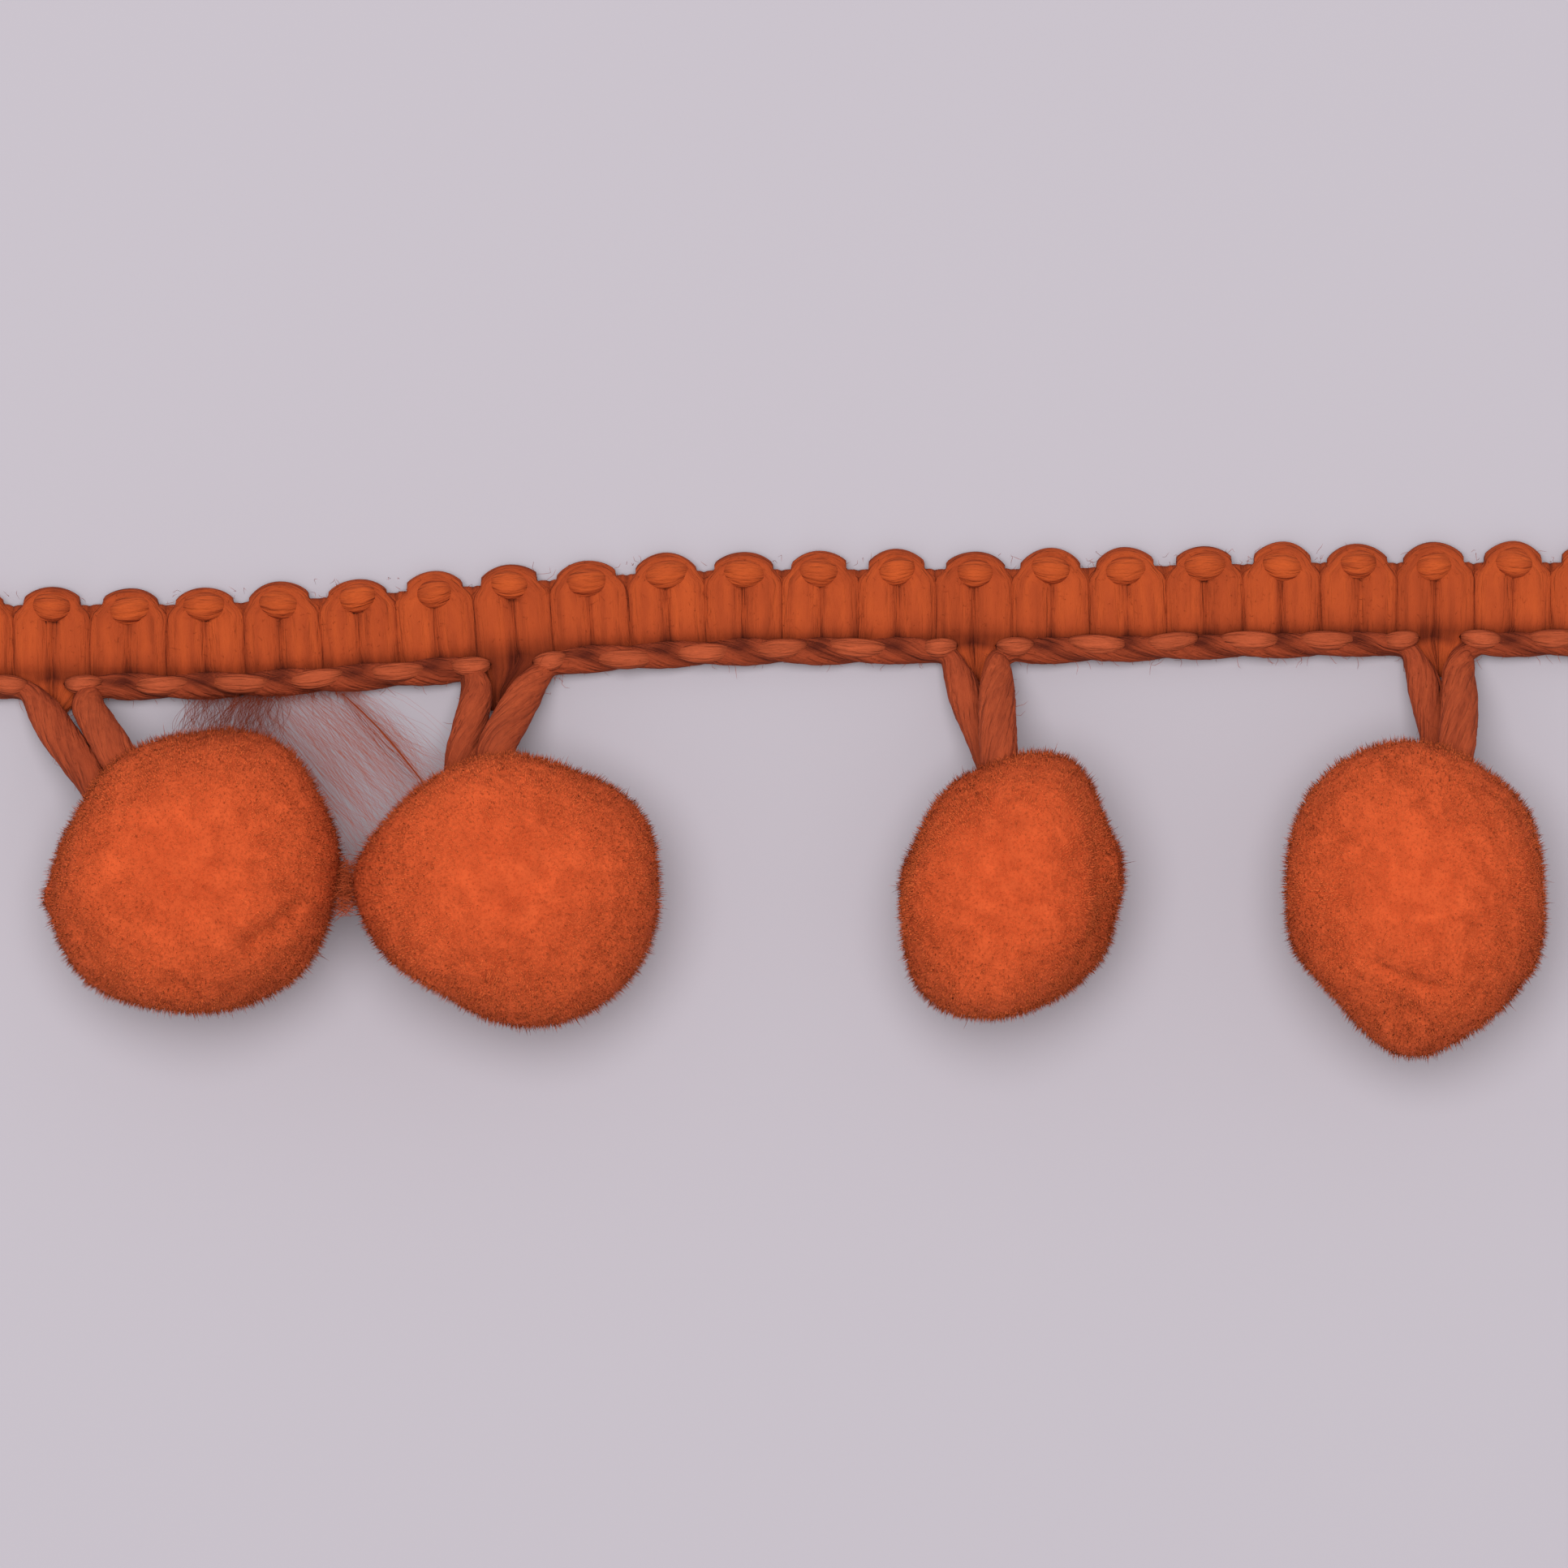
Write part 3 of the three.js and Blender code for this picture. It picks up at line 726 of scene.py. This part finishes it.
def place_tubes(name, made, material, node):
    """One piece from tubes of shape (tube, ring, side, 3), their tones and their charts."""
    rings, tone, chart = made
    tubes, count, sides = tone.shape
    ends = np.stack((tone[:, 0].mean(1), tone[:, -1].mean(1)), 1)
    tones = np.concatenate((tone.reshape(tubes, -1), ends), 1).ravel()
    flat = chart.reshape(tubes, -1, 2)
    charts = np.concatenate((flat, flat[:, :1], flat[:, -1:]), 1).reshape(-1, 2)
    return make_piece(
        name,
        with_ends(rings),
        tube_faces(tubes, count, sides),
        material,
        node,
        tones,
        charts,
    )


# The carrier yarn


def yarn_route():
    """The points of the yarn's way and their radii, with the edge's points at the valleys of
    the scallops, as the solid has them."""
    end = HEADING_LENGTH / 2 - EDGE_MARGIN

    def edge_points(places):
        places = np.asarray(places, float)
        points = on_heading(places, YARN_ACROSS, YARN_HEIGHT)
        return np.column_stack((points, np.full(len(places), EDGE_RADIUS)))

    # The one point after the loops stands for the cut end, up to which the edge runs on
    parts = [edge_points([-end])]
    for loop in LOOPS + (((end, 0, 0, 0),),):
        low = np.ceil((parts[-1][-1, 0] + RIB_PITCH) / SCALLOP_PITCH)
        high = np.floor((loop[0][0] - RIB_PITCH) / SCALLOP_PITCH)
        if high >= low:
            parts.append(edge_points(np.arange(low, high + 1) * SCALLOP_PITCH))
        if len(loop) > 1:
            parts.append(np.array(loop))
    parts.append(edge_points([end]))
    return np.concatenate(parts)


def through_points(points, spacing):
    """A curve through the points: on each span a cubic whose end slopes come from the spans
    beside it, each span timed by the square root of its length. Returns the curve's points and
    each one's place in the list of points."""
    xyz = points[:, :3]
    padded = np.vstack((2 * xyz[0] - xyz[1], xyz, 2 * xyz[-1] - xyz[-2]))
    time = np.sqrt(np.linalg.norm(np.diff(padded, axis=0), axis=1))[:, None]
    p0, p1, p2, p3 = padded[:-3], padded[1:-2], padded[2:-1], padded[3:]
    d0, d1, d2 = time[:-2], time[1:-1], time[2:]
    m1 = ((p1 - p0) / d0 - (p2 - p0) / (d0 + d1) + (p2 - p1) / d1) * d1
    m2 = ((p2 - p1) / d1 - (p3 - p1) / (d1 + d2) + (p3 - p2) / d2) * d1
    curve, place = [], []
    for i, length in enumerate(np.linalg.norm(p2 - p1, axis=1)):
        steps = max(4, int(np.ceil(length / spacing)))
        t = (np.arange(steps) / steps)[:, None]
        cubic = p1[i] + m1[i] * t
        cubic += (3 * (p2[i] - p1[i]) - 2 * m1[i] - m2[i]) * t**2
        cubic += (2 * (p1[i] - p2[i]) + m1[i] + m2[i]) * t**3
        curve.append(cubic)
        place.append(i + t[:, 0])
    curve.append(xyz[-1:])
    place.append(np.array((len(xyz) - 1.0,)))
    return np.concatenate(curve), np.concatenate(place)


# The yarn's rings lie this far apart, and the plies turn half round in this length of a loop
YARN_SPACING = 0.27
YARN_SIDES = 32
LOOP_TWIST = 14
# How far a ply is set from the yarn's middle on the edge, how much less on a loop, and by
# what share a loose loop is fuller
PLY_OFFSET = 0.26
LOOP_OFFSET_LOSS = 0.08
LOOP_SWELL = 0.2
# How much the edge is squeezed from the sides, how much more towards the right end, and how
# far it is pushed towards the ribs
EDGE_SQUEEZE = 0.12
RIGHT_SQUEEZE = 0.08
EDGE_PUSH = 0.08
# The filaments round half the yarn, their depth, and the yarn's small unevenness
YARN_STRANDS = 5
STRAND_DEPTH = 0.06
YARN_GRAIN = 0.035
YARN_GRAIN_SCALE = 2.4
# Tones: of the yarn, of the painted shade in the groove between its plies and at the hole under
# each scallop, and what a loop gains, less on its first leg and less at the low ends of both,
# near the pom pom, where painted shade darkens them
YARN_TONE = 0.46
GROOVE_SHADE = 0.35
YARN_HOLE_SHADE = 0.32
LOOP_GAIN = 0.12
FIRST_LEG_LOSS = 0.09
LOW_END_SHADE = 0.08
YARN_HALF_ROUND = 3.4


def carrier_yarn():
    """Two plies twisted into one yarn and carried along its way. The section's radius at an
    angle t from the plies' line is a|cos t| + sqrt(b^2 - a^2 sin^2 t), which is two circles of
    radius b set a either side of the middle. The line turns half round in each scallop's length
    on the edge, so that a ply lies uppermost at each valley, and more slowly down the loops.
    The edge is squeezed a little. Painted shade darkens the groove between the plies, the
    underside, and the edge at the hole under the middle of each scallop. A loop is paler than the
    edge, but less so on its first leg, and painted shade darkens it near the pom pom."""
    points = yarn_route()
    curve, place = through_points(points, YARN_SPACING)
    radius = np.interp(place, np.arange(len(points)), points[:, 3])
    step = np.linalg.norm(np.diff(curve, axis=0), axis=1)
    length = np.concatenate(((0,), np.cumsum(step)))

    # The plies' turn, and where the yarn hangs loose, from the edge to each loop and back
    turn = np.pi * curve[:, 0] / SCALLOP_PITCH
    loose = np.zeros(len(curve))
    dim = np.zeros(len(curve))
    for loop in LOOPS:
        low = np.abs(curve - np.array(loop[0][:3])).sum(1).argmin()
        high = np.abs(curve - np.array(loop[-1][:3])).sum(1).argmin()
        here = slice(low, high + 1)
        span = length[high] - length[low]
        change = turn[high] - turn[low]
        whole = np.round((np.pi * span / LOOP_TWIST - change) / np.pi) * np.pi
        share = (length[here] - length[low]) / span
        turn[here] = turn[low] + share * (change + whole)
        turn[high + 1 :] += whole
        loose[here] = smoothstep(share, 0.02, 0.16) * (1 - smoothstep(share, 0.84, 0.98))
        first_leg = 1 - smoothstep(share, 0.4, 0.6)
        # Painted shade near the pom pom, where the legs go into the pile
        low_ends = smoothstep(1 - np.abs(2 * share - 1), 0.35, 0.7)
        dim[here] = FIRST_LEG_LOSS * first_leg + LOW_END_SHADE * low_ends

    # The section
    forward = unit(np.gradient(curve, axis=0))
    side = unit(np.cross(np.array((0, 0, 1.0)), forward))
    over = np.cross(forward, side)
    offset = (PLY_OFFSET - LOOP_OFFSET_LOSS * loose) * radius / EDGE_RADIUS
    ply = radius * (1 + LOOP_SWELL * loose) - offset
    angle = np.linspace(0, 2 * np.pi, YARN_SIDES, endpoint=False)
    from_line = angle[None] - turn[:, None] - np.pi / 2
    a, b = offset[:, None], ply[:, None]
    past_circle = np.sqrt(np.maximum(b**2 - (a * np.sin(from_line)) ** 2, 0))
    reach = a * np.abs(np.cos(from_line)) + past_circle
    strands = YARN_STRANDS * from_line + 2.2 * length[:, None] / SCALLOP_PITCH
    strands = np.abs(np.sin(strands))
    reach = reach * (1 - STRAND_DEPTH * (1 - strands) ** 2)
    squeeze = EDGE_SQUEEZE + RIGHT_SQUEEZE * smoothstep(curve[:, 0], 15, 40)
    slim = 1 - (1 - loose) * squeeze
    out = slim[:, None] * np.cos(angle)[None] * reach
    lift = YARN_FLATNESS * np.sin(angle)[None, :, None] * reach[:, :, None]
    spot = curve[:, None] + side[:, None] * out[:, :, None]
    spot[..., 1] += EDGE_PUSH * (1 - loose[:, None])
    spot = spot + over[:, None] * lift
    grain = lattice_noise(spot * YARN_GRAIN_SCALE, 37)[..., None]
    spot = spot + unit(spot - curve[:, None]) * YARN_GRAIN * grain
    spot[..., 2] = np.maximum(spot[..., 2], 0.02)

    # The tone: painted shade in the grooves between the filaments and between the plies, on the
    # underside and at the hole under each scallop
    groove = 1 - np.abs(np.cos(from_line))
    tone = YARN_TONE + 0.12 * strands
    tone = tone - GROOVE_SHADE * (1 - 0.7 * loose[:, None]) * groove**2
    tone = tone - 0.2 * np.clip(-np.sin(angle)[None], 0, 1) - 0.06 * (1 - loose[:, None])
    across = spot[..., 1] - lie(spot[..., 0])
    from_centre = np.abs(np.mod(spot[..., 0], SCALLOP_PITCH) - SCALLOP_PITCH / 2)
    hole = np.exp(-((from_centre / HOLE_HALF_WIDTH) ** 2)) * smoothstep(across, -3.25, -2.75)
    tone = tone - YARN_HOLE_SHADE * hole * (1 - loose[:, None])
    tone = tone + (LOOP_GAIN - dim[:, None]) * loose[:, None]
    around = np.abs(np.mod(from_line / np.pi, 2) - 1) * YARN_HALF_ROUND
    chart = np.stack(np.broadcast_arrays(length[:, None], around), -1)
    return spot[None], tone[None], chart[None]


# The pom poms

# The middling radius at which the width of a dent in the pile is measured
DENT_RADIUS = 9.5


def aim(bearing, elevation):
    """The direction at a bearing in plan and an elevation, both in degrees."""
    b, e = np.radians(bearing), np.radians(elevation)
    return np.array((np.cos(e) * np.cos(b), np.cos(e) * np.sin(b), np.sin(e)))


def pom_radius(pom, direction):
    """The distance from a pom pom's middle to its skin: an ellipsoid's radius, plus each swell
    by a bell curve of the angle from it, plus three slow sine waves, less each dent by a bell
    curve of the distance from its line."""
    turn = np.radians(-pom["turn"])
    c, s = np.cos(turn), np.sin(turn)
    x, y, z = direction[..., 0], direction[..., 1], direction[..., 2]
    half = pom["half"]
    flat = np.hypot((x * c - y * s) / half[0], (x * s + y * c) / half[1])
    reach = 1 / np.hypot(flat, z / half[2])
    for bearing, elevation, size, spread in pom["swells"]:
        away = np.arccos(np.clip(direction @ aim(bearing, elevation), -1, 1))
        reach = reach + size * np.exp(-((away / np.radians(spread)) ** 2))
    for wx, wy, wz, phase in LUMP_WAVES:
        wave = np.sin(wx * x + wy * y + wz * z + phase + pom["middle"][0])
        reach = reach + LUMP_SIZE * wave
    for b0, e0, b1, e1, depth, width in pom["dents"]:
        start, end = aim(b0, e0) * DENT_RADIUS, aim(b1, e1) * DENT_RADIUS
        run = end - start
        from_start = direction * DENT_RADIUS - start
        share = np.clip((from_start @ run) / (run @ run), 0, 1)
        away = np.linalg.norm(from_start - share[..., None] * run, axis=-1)
        reach = reach - depth * np.exp(-((away / width) ** 2))
    return reach


def pom_middle(pom):
    """The middle of a pom pom, low enough for its flat resting spot."""
    return np.array((*pom["middle"], pom["half"][2] - POM_FLAT))


# How wide the parting of the pile at a loop is, in degrees, and how deep in the ball and in
# the pile
MOUTH_SPREAD = 13
BALL_MOUTH = 0.7
PILE_MOUTH = 0.75


def mouth_dent(loop, middle, direction):
    """How far the pile is parted where the loop's legs go in: a bell curve of the angle from
    the middle of the two legs' last points outside."""
    mouth = unit((np.array(loop[4][:3]) + np.array(loop[-5][:3])) / 2 - middle)
    away = np.arccos(np.clip(direction @ mouth, -1, 1))
    return np.exp(-((away / np.radians(MOUTH_SPREAD)) ** 2))


# The ball: its rings, how far its skin is inside the pile's, its tufts, and its tone, dark with
# painted shade deep in the pile
BALL_RINGS = 48
BALL_SIDES = 96
BALL_INSET = 0.3
BALL_TUFTS = 0.1
BALL_TONE = 0.35


def pom_ball(pom, loop, seed):
    """The body of the clipped pile: a globe of rings about the Y axis, closed by a point at
    either pole, 0.3 mm inside the tips of the pile. Tufts are raised in it by a noise."""
    middle = pom_middle(pom)
    polar = np.pi * (np.arange(BALL_RINGS) + 0.5) / BALL_RINGS
    angle = 2 * np.pi * np.arange(BALL_SIDES) / BALL_SIDES
    flat = np.sin(polar)[:, None]
    direction = (flat * np.sin(angle), -np.cos(polar)[:, None], flat * np.cos(angle))
    direction = np.stack(np.broadcast_arrays(*direction), -1)
    reach = pom_radius(pom, direction) - BALL_INSET
    dent = mouth_dent(loop, middle, direction)
    tufts = lattice_noise(direction * reach[..., None] * 1.3 + seed, seed)
    reach = reach + BALL_TUFTS * tufts - BALL_MOUTH * dent
    spot = middle + direction * reach[..., None]
    spot[..., 2] = np.maximum(spot[..., 2], 0)
    # Painted shade: dark deep in the pile and at the mouth where the loop goes in; painted light
    # on the raised tufts
    tone = BALL_TONE + 0.1 * tufts - 0.2 * dent
    return spot[None], tone[None], spot[None, ..., :2]


def golden_spiral(count):
    """count even directions: equal steps up the axis, each turned by the golden angle."""
    i = np.arange(count) + 0.5
    z = 1 - 2 * i / count
    angle = np.pi * (1 + 5**0.5) * i
    flat = np.sqrt(1 - z * z)
    return np.stack((flat * np.cos(angle), flat * np.sin(angle), z), -1)


def spikes(roots, tips, thickness):
    """Closed three-sided spikes from roots to tips: points and triangles."""
    axis = unit(tips - roots)
    helper = np.where(np.abs(axis[:, 2:]) < 0.9, np.array((0, 0, 1.0)), np.array((1.0, 0, 0)))
    e1 = unit(np.cross(axis, helper))
    e2 = np.cross(axis, e1)
    t = np.radians((0, 120, 240))
    around = e1[:, None] * np.cos(t)[:, None] + e2[:, None] * np.sin(t)[:, None]
    base = roots[:, None] + around * thickness
    points = np.concatenate((base, tips[:, None]), 1)
    one = np.array(((0, 1, 3), (1, 2, 3), (2, 0, 3), (0, 2, 1)))
    faces = one[None] + 4 * np.arange(len(roots))[:, None, None]
    return points.reshape(-1, 3), faces.reshape(-1, 3)


# The pile's fibre ends: how many a ball has, how deep they are rooted, how thick they are and how
# much they lean; how far past the skin they end, the share that are longer and by how much; what
# the tufts and the pits do to their length; the tones of their roots, dark with painted shade,
# and of their tips; and how much each one's own roundness shows in its shading
FIBRES = 42000
ROOT_DEPTH = 0.8
FIBRE_THICKNESS = 0.06
FIBRE_LEAN = 0.15
END_SPREAD = 0.15
END_SINK = 0.03
LONG_SHARE = 0.012
LONG_REACH = 0.45
PILE_TUFTS = 0.14
PIT_DEPTH = 0.22
ROOT_TONE = 0.32
TIP_TONE = 0.72
FIBRE_ROUNDNESS = 0.35


def pits(spot, seed):
    """Where the pile parts: from 0 to 1 inside small scattered patches of a smooth noise."""
    return smoothstep(lattice_noise(spot * 1.25 + seed, seed + 7), 0.5, 0.8)


def pom_pile(pom, loop, seed):
    """The pile's fibre ends: spikes rooted in the ball at even directions, leaning a little at
    random, with a few longer than the rest, and shorter in pits and where the loop goes in.
    Those below are bent flat where the ball rests. Their roots are dark with painted shade, the
    tufts lighter with painted light, and the pits and the mouth where the loop goes in darker
    with painted shade. Slow patches of a noise make them darker and paler, more at the sides than
    on top, and a broad band round the top is a little paler, as painted light.
    They shade mostly like the ball under them."""
    middle = pom_middle(pom)
    direction = golden_spiral(FIBRES)
    up = direction[:, 2]
    reach = pom_radius(pom, direction)
    dent = mouth_dent(loop, middle, direction)
    skin = direction * reach[:, None]
    pit = pits(skin, seed)
    rnd = np.random.default_rng(seed)
    lean = rnd.normal(0, FIBRE_LEAN, (FIBRES, 3))
    longer = np.where(rnd.random(FIBRES) < LONG_SHARE, rnd.random(FIBRES) * LONG_REACH, 0)
    tufts = 0.4 * lattice_noise(skin * 1.1 + seed, seed)
    tufts = tufts + 0.6 * lattice_noise(skin * 2.6 + seed, seed + 3)
    patches = lattice_noise(skin * 0.42 + seed, seed + 5) * (1 - 0.6 * up**2)
    out = END_SPREAD * rnd.random(FIBRES) - END_SINK + longer
    out = out + PILE_TUFTS * tufts - PIT_DEPTH * pit
    reach = reach - PILE_MOUTH * dent
    roots = middle + direction * (reach - ROOT_DEPTH)[:, None]
    tips = middle + direction * (reach + out)[:, None] + lean * (1 + 2 * longer[:, None])
    tips[:, 2] = np.maximum(tips[:, 2], 0.03)
    keep = roots[:, 2] > 0.1
    roots, tips, way = roots[keep], tips[keep], direction[keep]
    points, faces = spikes(roots, tips, FIBRE_THICKNESS)
    # Painted light: paler on the raised tufts and in a broad band round the top; painted shade at
    # the roots, in the pits and at the mouth
    band = smoothstep(up, 0.1, 0.5) * (1 - smoothstep(up, 0.75, 0.97))
    own = 0.16 * (rnd.random(FIBRES) - 0.5) + 0.2 * tufts + 0.16 * patches
    own = (own + 0.1 * band - 0.22 * pit - 0.25 * dent)[keep]
    tone = np.stack((ROOT_TONE + own,) * 3 + (TIP_TONE + own,), 1).ravel()
    spread = points.reshape(-1, 4, 3) - (0.8 * roots + 0.2 * tips)[:, None]
    spread = spread - (spread * way[:, None]).sum(-1, keepdims=True) * way[:, None]
    normals = unit(way[:, None] + FIBRE_ROUNDNESS * unit(spread)).reshape(-1, 3)
    return points, faces, tone, normals


# Loose fibres

# A thread's sides, how much it curls for its bow, and how many short loose fibres stand out
# of the yarn and as many of the heading
THREAD_SIDES = 3
CURL_SHARE = 0.35
FUZZ_FIBRES = 1300


def loose_threads(starts, ends, sag, thickness, seed, rings, tone=0.4):
    """Thin bent threads from starts to ends: each a straight line bowed by half a sine wave in
    a random direction and curled by a whole one in another, its thickness falling to nothing
    at both ends."""
    rnd = np.random.default_rng(seed)
    t = np.linspace(0, 1, rings)[None, :, None]
    bow = rnd.normal(0, 1, (len(starts), 1, 3)) * sag
    curl = rnd.normal(0, CURL_SHARE, (len(starts), 1, 3)) * sag
    line = starts[:, None] * (1 - t) + ends[:, None] * t
    line = line + bow * np.sin(np.pi * t) + curl * np.sin(2 * np.pi * t)
    line[..., 2] = np.maximum(line[..., 2], 0.12)
    forward = unit(np.gradient(line, axis=1))
    helper = np.array((0.13, 0.21, 0.97))
    e1 = unit(np.cross(forward, helper))
    e2 = np.cross(forward, e1)
    angle = -np.linspace(0, 2 * np.pi, THREAD_SIDES, endpoint=False)
    thick = thickness * np.sin(np.pi * np.clip(t, 0.03, 0.97))[..., None] ** 0.4
    rings_at = line[:, :, None] + thick * (
        e1[:, :, None] * np.cos(angle)[:, None] + e2[:, :, None] * np.sin(angle)[:, None]
    )
    tone = np.broadcast_to(tone + 0.2 * rnd.random((len(starts), 1, 1)), rings_at.shape[:-1])
    chart = np.zeros(rings_at.shape[:-1] + (2,))
    return rings_at, tone, chart


def yarn_fuzz():
    """Short fibres that stand out of the edge yarn and the loops, from its middle to a little
    past its skin, all round."""
    curve, _ = through_points(yarn_route(), YARN_SPACING)
    rnd = np.random.default_rng(71)
    at = curve[rnd.integers(2, len(curve) - 2, FUZZ_FIBRES)]
    way = unit(rnd.normal(0, 1, (FUZZ_FIBRES, 3)))
    starts = at + way * 0.7
    ends = at + way * (1.2 + 0.4 * rnd.random((FUZZ_FIBRES, 1)) ** 2)
    ends = ends + rnd.normal(0, 0.3, (FUZZ_FIBRES, 3))
    return loose_threads(starts, ends, sag=0.12, thickness=0.016, seed=72, rings=4)


def heading_fuzz():
    """Short fibres that stand out of the ribs and the scallops, all over the face."""
    rnd = np.random.default_rng(81)
    along = (rnd.random(FUZZ_FIBRES) - 0.5) * (HEADING_LENGTH - 1)
    across = -1.8 + 5.4 * rnd.random(FUZZ_FIBRES)
    starts = on_heading(along, across, 1.0)
    to_side = rnd.normal(0, 0.35, (FUZZ_FIBRES, 2))
    lift = np.column_stack((to_side, 0.7 + 0.35 * rnd.random(FUZZ_FIBRES)))
    return loose_threads(starts, starts + lift, sag=0.14, thickness=0.015, seed=82, rings=4)


def drawn_out(rnd, count, low, high, pom, bearings, top, jitter):
    """Where fibres leave the heading's edge, evenly from low to high along it, and where they
    meet a pom pom. A fibre's share of the way along sets its bearing there, from the first to
    the second of two, with a normal jitter, and it meets the pom pom up to top degrees high."""
    share = rnd.random(count)
    x = low + (high - low) * share + rnd.normal(0, 0.5, count)
    starts = on_heading(x, -3.8, 1.0 + 0.4 * rnd.random(count))
    first, last = bearings
    bearing = first + (last - first) * share + rnd.normal(0, jitter, count)
    way = aim(bearing, top * rnd.random(count)).T
    return starts, pom_middle(pom) + way * pom_radius(pom, way)[:, None]


# The drawn-out fibres, by piece: how many of them there are, and where the thread at their
# side starts and ends. The fluff's middle, how far from it nearly all of the fluff lies, and
# how far its fibres lean to the side.
GAUZE_LOW_FIBRES = 260
EDGE_FIBRES = 260
GAUZE_FIBRES = 400
WISPS = 14
FLUFF_FIBRES = 480
STRAY_THREAD = np.array(((-25.5, -6.1, 1.4),)), np.array(((-19.2, -12.9, 5.8),))
FLUFF_MIDDLE = (-24.95, -19.5, 8.9)
FLUFF_SIZE = (0.4, 1.6, 1.1)
FLUFF_LEAN = (0.45, 0, 0)


def haze():
    """The gauze of fine fibres drawn out from under the edge yarn to the tops of the first two
    pom poms, with one stray thread at its side, and the fluff that joins those two pom poms:
    threads gathered round a middle by the sum of three even draws."""
    rnd = np.random.default_rng(91)
    near = drawn_out(rnd, GAUZE_LOW_FIBRES, -36, -30, POMS[0], (91, 62), top=30, jitter=6)
    veil = drawn_out(rnd, GAUZE_FIBRES, -33.5, -25, POMS[1], (168, 122), top=25, jitter=9)
    x = -35.5 + 11 * rnd.random(EDGE_FIBRES)
    under = on_heading(x, -3.7, 0.9 + 0.5 * rnd.random(EDGE_FIBRES))
    hang = rnd.normal(0, 0.4, (EDGE_FIBRES, 3)) + np.array((0.2, -0.6, 0))
    wisps = tuple(
        np.repeat(end, WISPS, 0) + rnd.normal(0, 0.22, (WISPS, 3)) for end in STRAY_THREAD
    )
    around = rnd.random((FLUFF_FIBRES, 3, 3)).sum(2) - 1.5
    at = np.array(FLUFF_MIDDLE) + around * FLUFF_SIZE
    way = rnd.normal(0, 0.3, (FLUFF_FIBRES, 3))
    way = way + np.array(FLUFF_LEAN) * np.sign(rnd.random((FLUFF_FIBRES, 1)) - 0.5)
    return {
        "gauze_low": loose_threads(*near, 0.5, 0.011, 92, 8, tone=0.35),
        "edge_fluff": loose_threads(under, under + hang, 0.2, 0.012, 97, 6, tone=0.5),
        "gauze": loose_threads(*veil, 0.8, 0.0055, 93, 8, tone=0.75),
        "stray_thread": loose_threads(*STRAY_THREAD, 0.25, 0.09, 94, 14, tone=0.35),
        "wisps": loose_threads(*wisps, 0.3, 0.013, 95, 8),
        "fluff": loose_threads(at - way, at + way, 0.12, 0.024, 96, 5, tone=0.72),
    }


# Building it all

place_tubes("ribs", hairpins(), BRAID, "heading")
place_tubes("top_stitches", top_stitches(), BRAID, "heading")
place_tubes("edge_stitches", edge_stitches(), EDGE, "heading")
place_tubes("web", web(), BRAID, "heading")
place_tubes("edge_yarn_and_loops", carrier_yarn(), YARN, "carrier_yarn")
place_tubes("yarn_fuzz", yarn_fuzz(), YARN, "carrier_yarn")
place_tubes("heading_fuzz", heading_fuzz(), BRAID, "heading")
for name, made in haze().items():
    place_tubes(name, made, YARN, "carrier_yarn")
for index, (pom, loop) in enumerate(zip(POMS, LOOPS)):
    node = f"pompom_{index + 1}"
    place_tubes(f"{node}_ball", pom_ball(pom, loop, 100 + 10 * index), PILE, node)
    points, faces, tone, normals = pom_pile(pom, loop, 500 + index)
    make_piece(f"{node}_pile", points, faces, PILE, node, tone, normals=normals)


# The stage: a plain pale floor, one large soft light and an even sky

# All in metres. The floor lies a little under the trim's flat back.
FLOOR_HALF_SIZE = 3
FLOOR_DROP = 0.00002
FLOOR_COLOUR = (0.4, 0.368, 0.408, 1)
SKY_STRENGTH = 0.6
LAMP_SIZE = 0.6
LAMP_ENERGY = 7.0
LAMP_PLACE = (-0.045, 0.07, 0.84)
LAMP_TILT = (-5, -3, 0)
CAMERA_PLACE = (0.00554, -0.01246, 0.6)
LENS = 195.65

floor_mesh = bpy.data.meshes.new("floor")
corners = ((-1, -1), (1, -1), (1, 1), (-1, 1))
floor_mesh.from_pydata(
    [(FLOOR_HALF_SIZE * x, FLOOR_HALF_SIZE * y, -FLOOR_DROP) for x, y in corners],
    [],
    [(0, 1, 2, 3)],
)
floor = bpy.data.objects.new("floor", floor_mesh)
bpy.context.scene.collection.objects.link(floor)
floor_material, _, _, floor_shader = new_material("pale_floor", FLOOR_ROUGHNESS)
floor_shader.inputs["Base Color"].default_value = FLOOR_COLOUR
floor_mesh.materials.append(floor_material)

world = bpy.data.worlds.new("studio")
world.use_nodes = True
sky = world.node_tree.nodes["Background"]
sky.inputs["Color"].default_value = (1, 1, 1, 1)
sky.inputs["Strength"].default_value = SKY_STRENGTH
bpy.context.scene.world = world

key = bpy.data.lights.new("key", "AREA")
key.shape = "DISK"
key.size = LAMP_SIZE
key.energy = LAMP_ENERGY
key_lamp = bpy.data.objects.new("key", key)
key_lamp.location = LAMP_PLACE
key_lamp.rotation_euler = np.radians(LAMP_TILT)
bpy.context.scene.collection.objects.link(key_lamp)

camera_data = bpy.data.cameras.new("camera")
camera_data.lens = LENS
camera_data.sensor_width = 36
camera_data.clip_start = 0.01
camera = bpy.data.objects.new("camera", camera_data)
camera.location = CAMERA_PLACE
bpy.context.scene.collection.objects.link(camera)
bpy.context.scene.camera = camera
bpy.context.scene.view_settings.view_transform = "Standard"
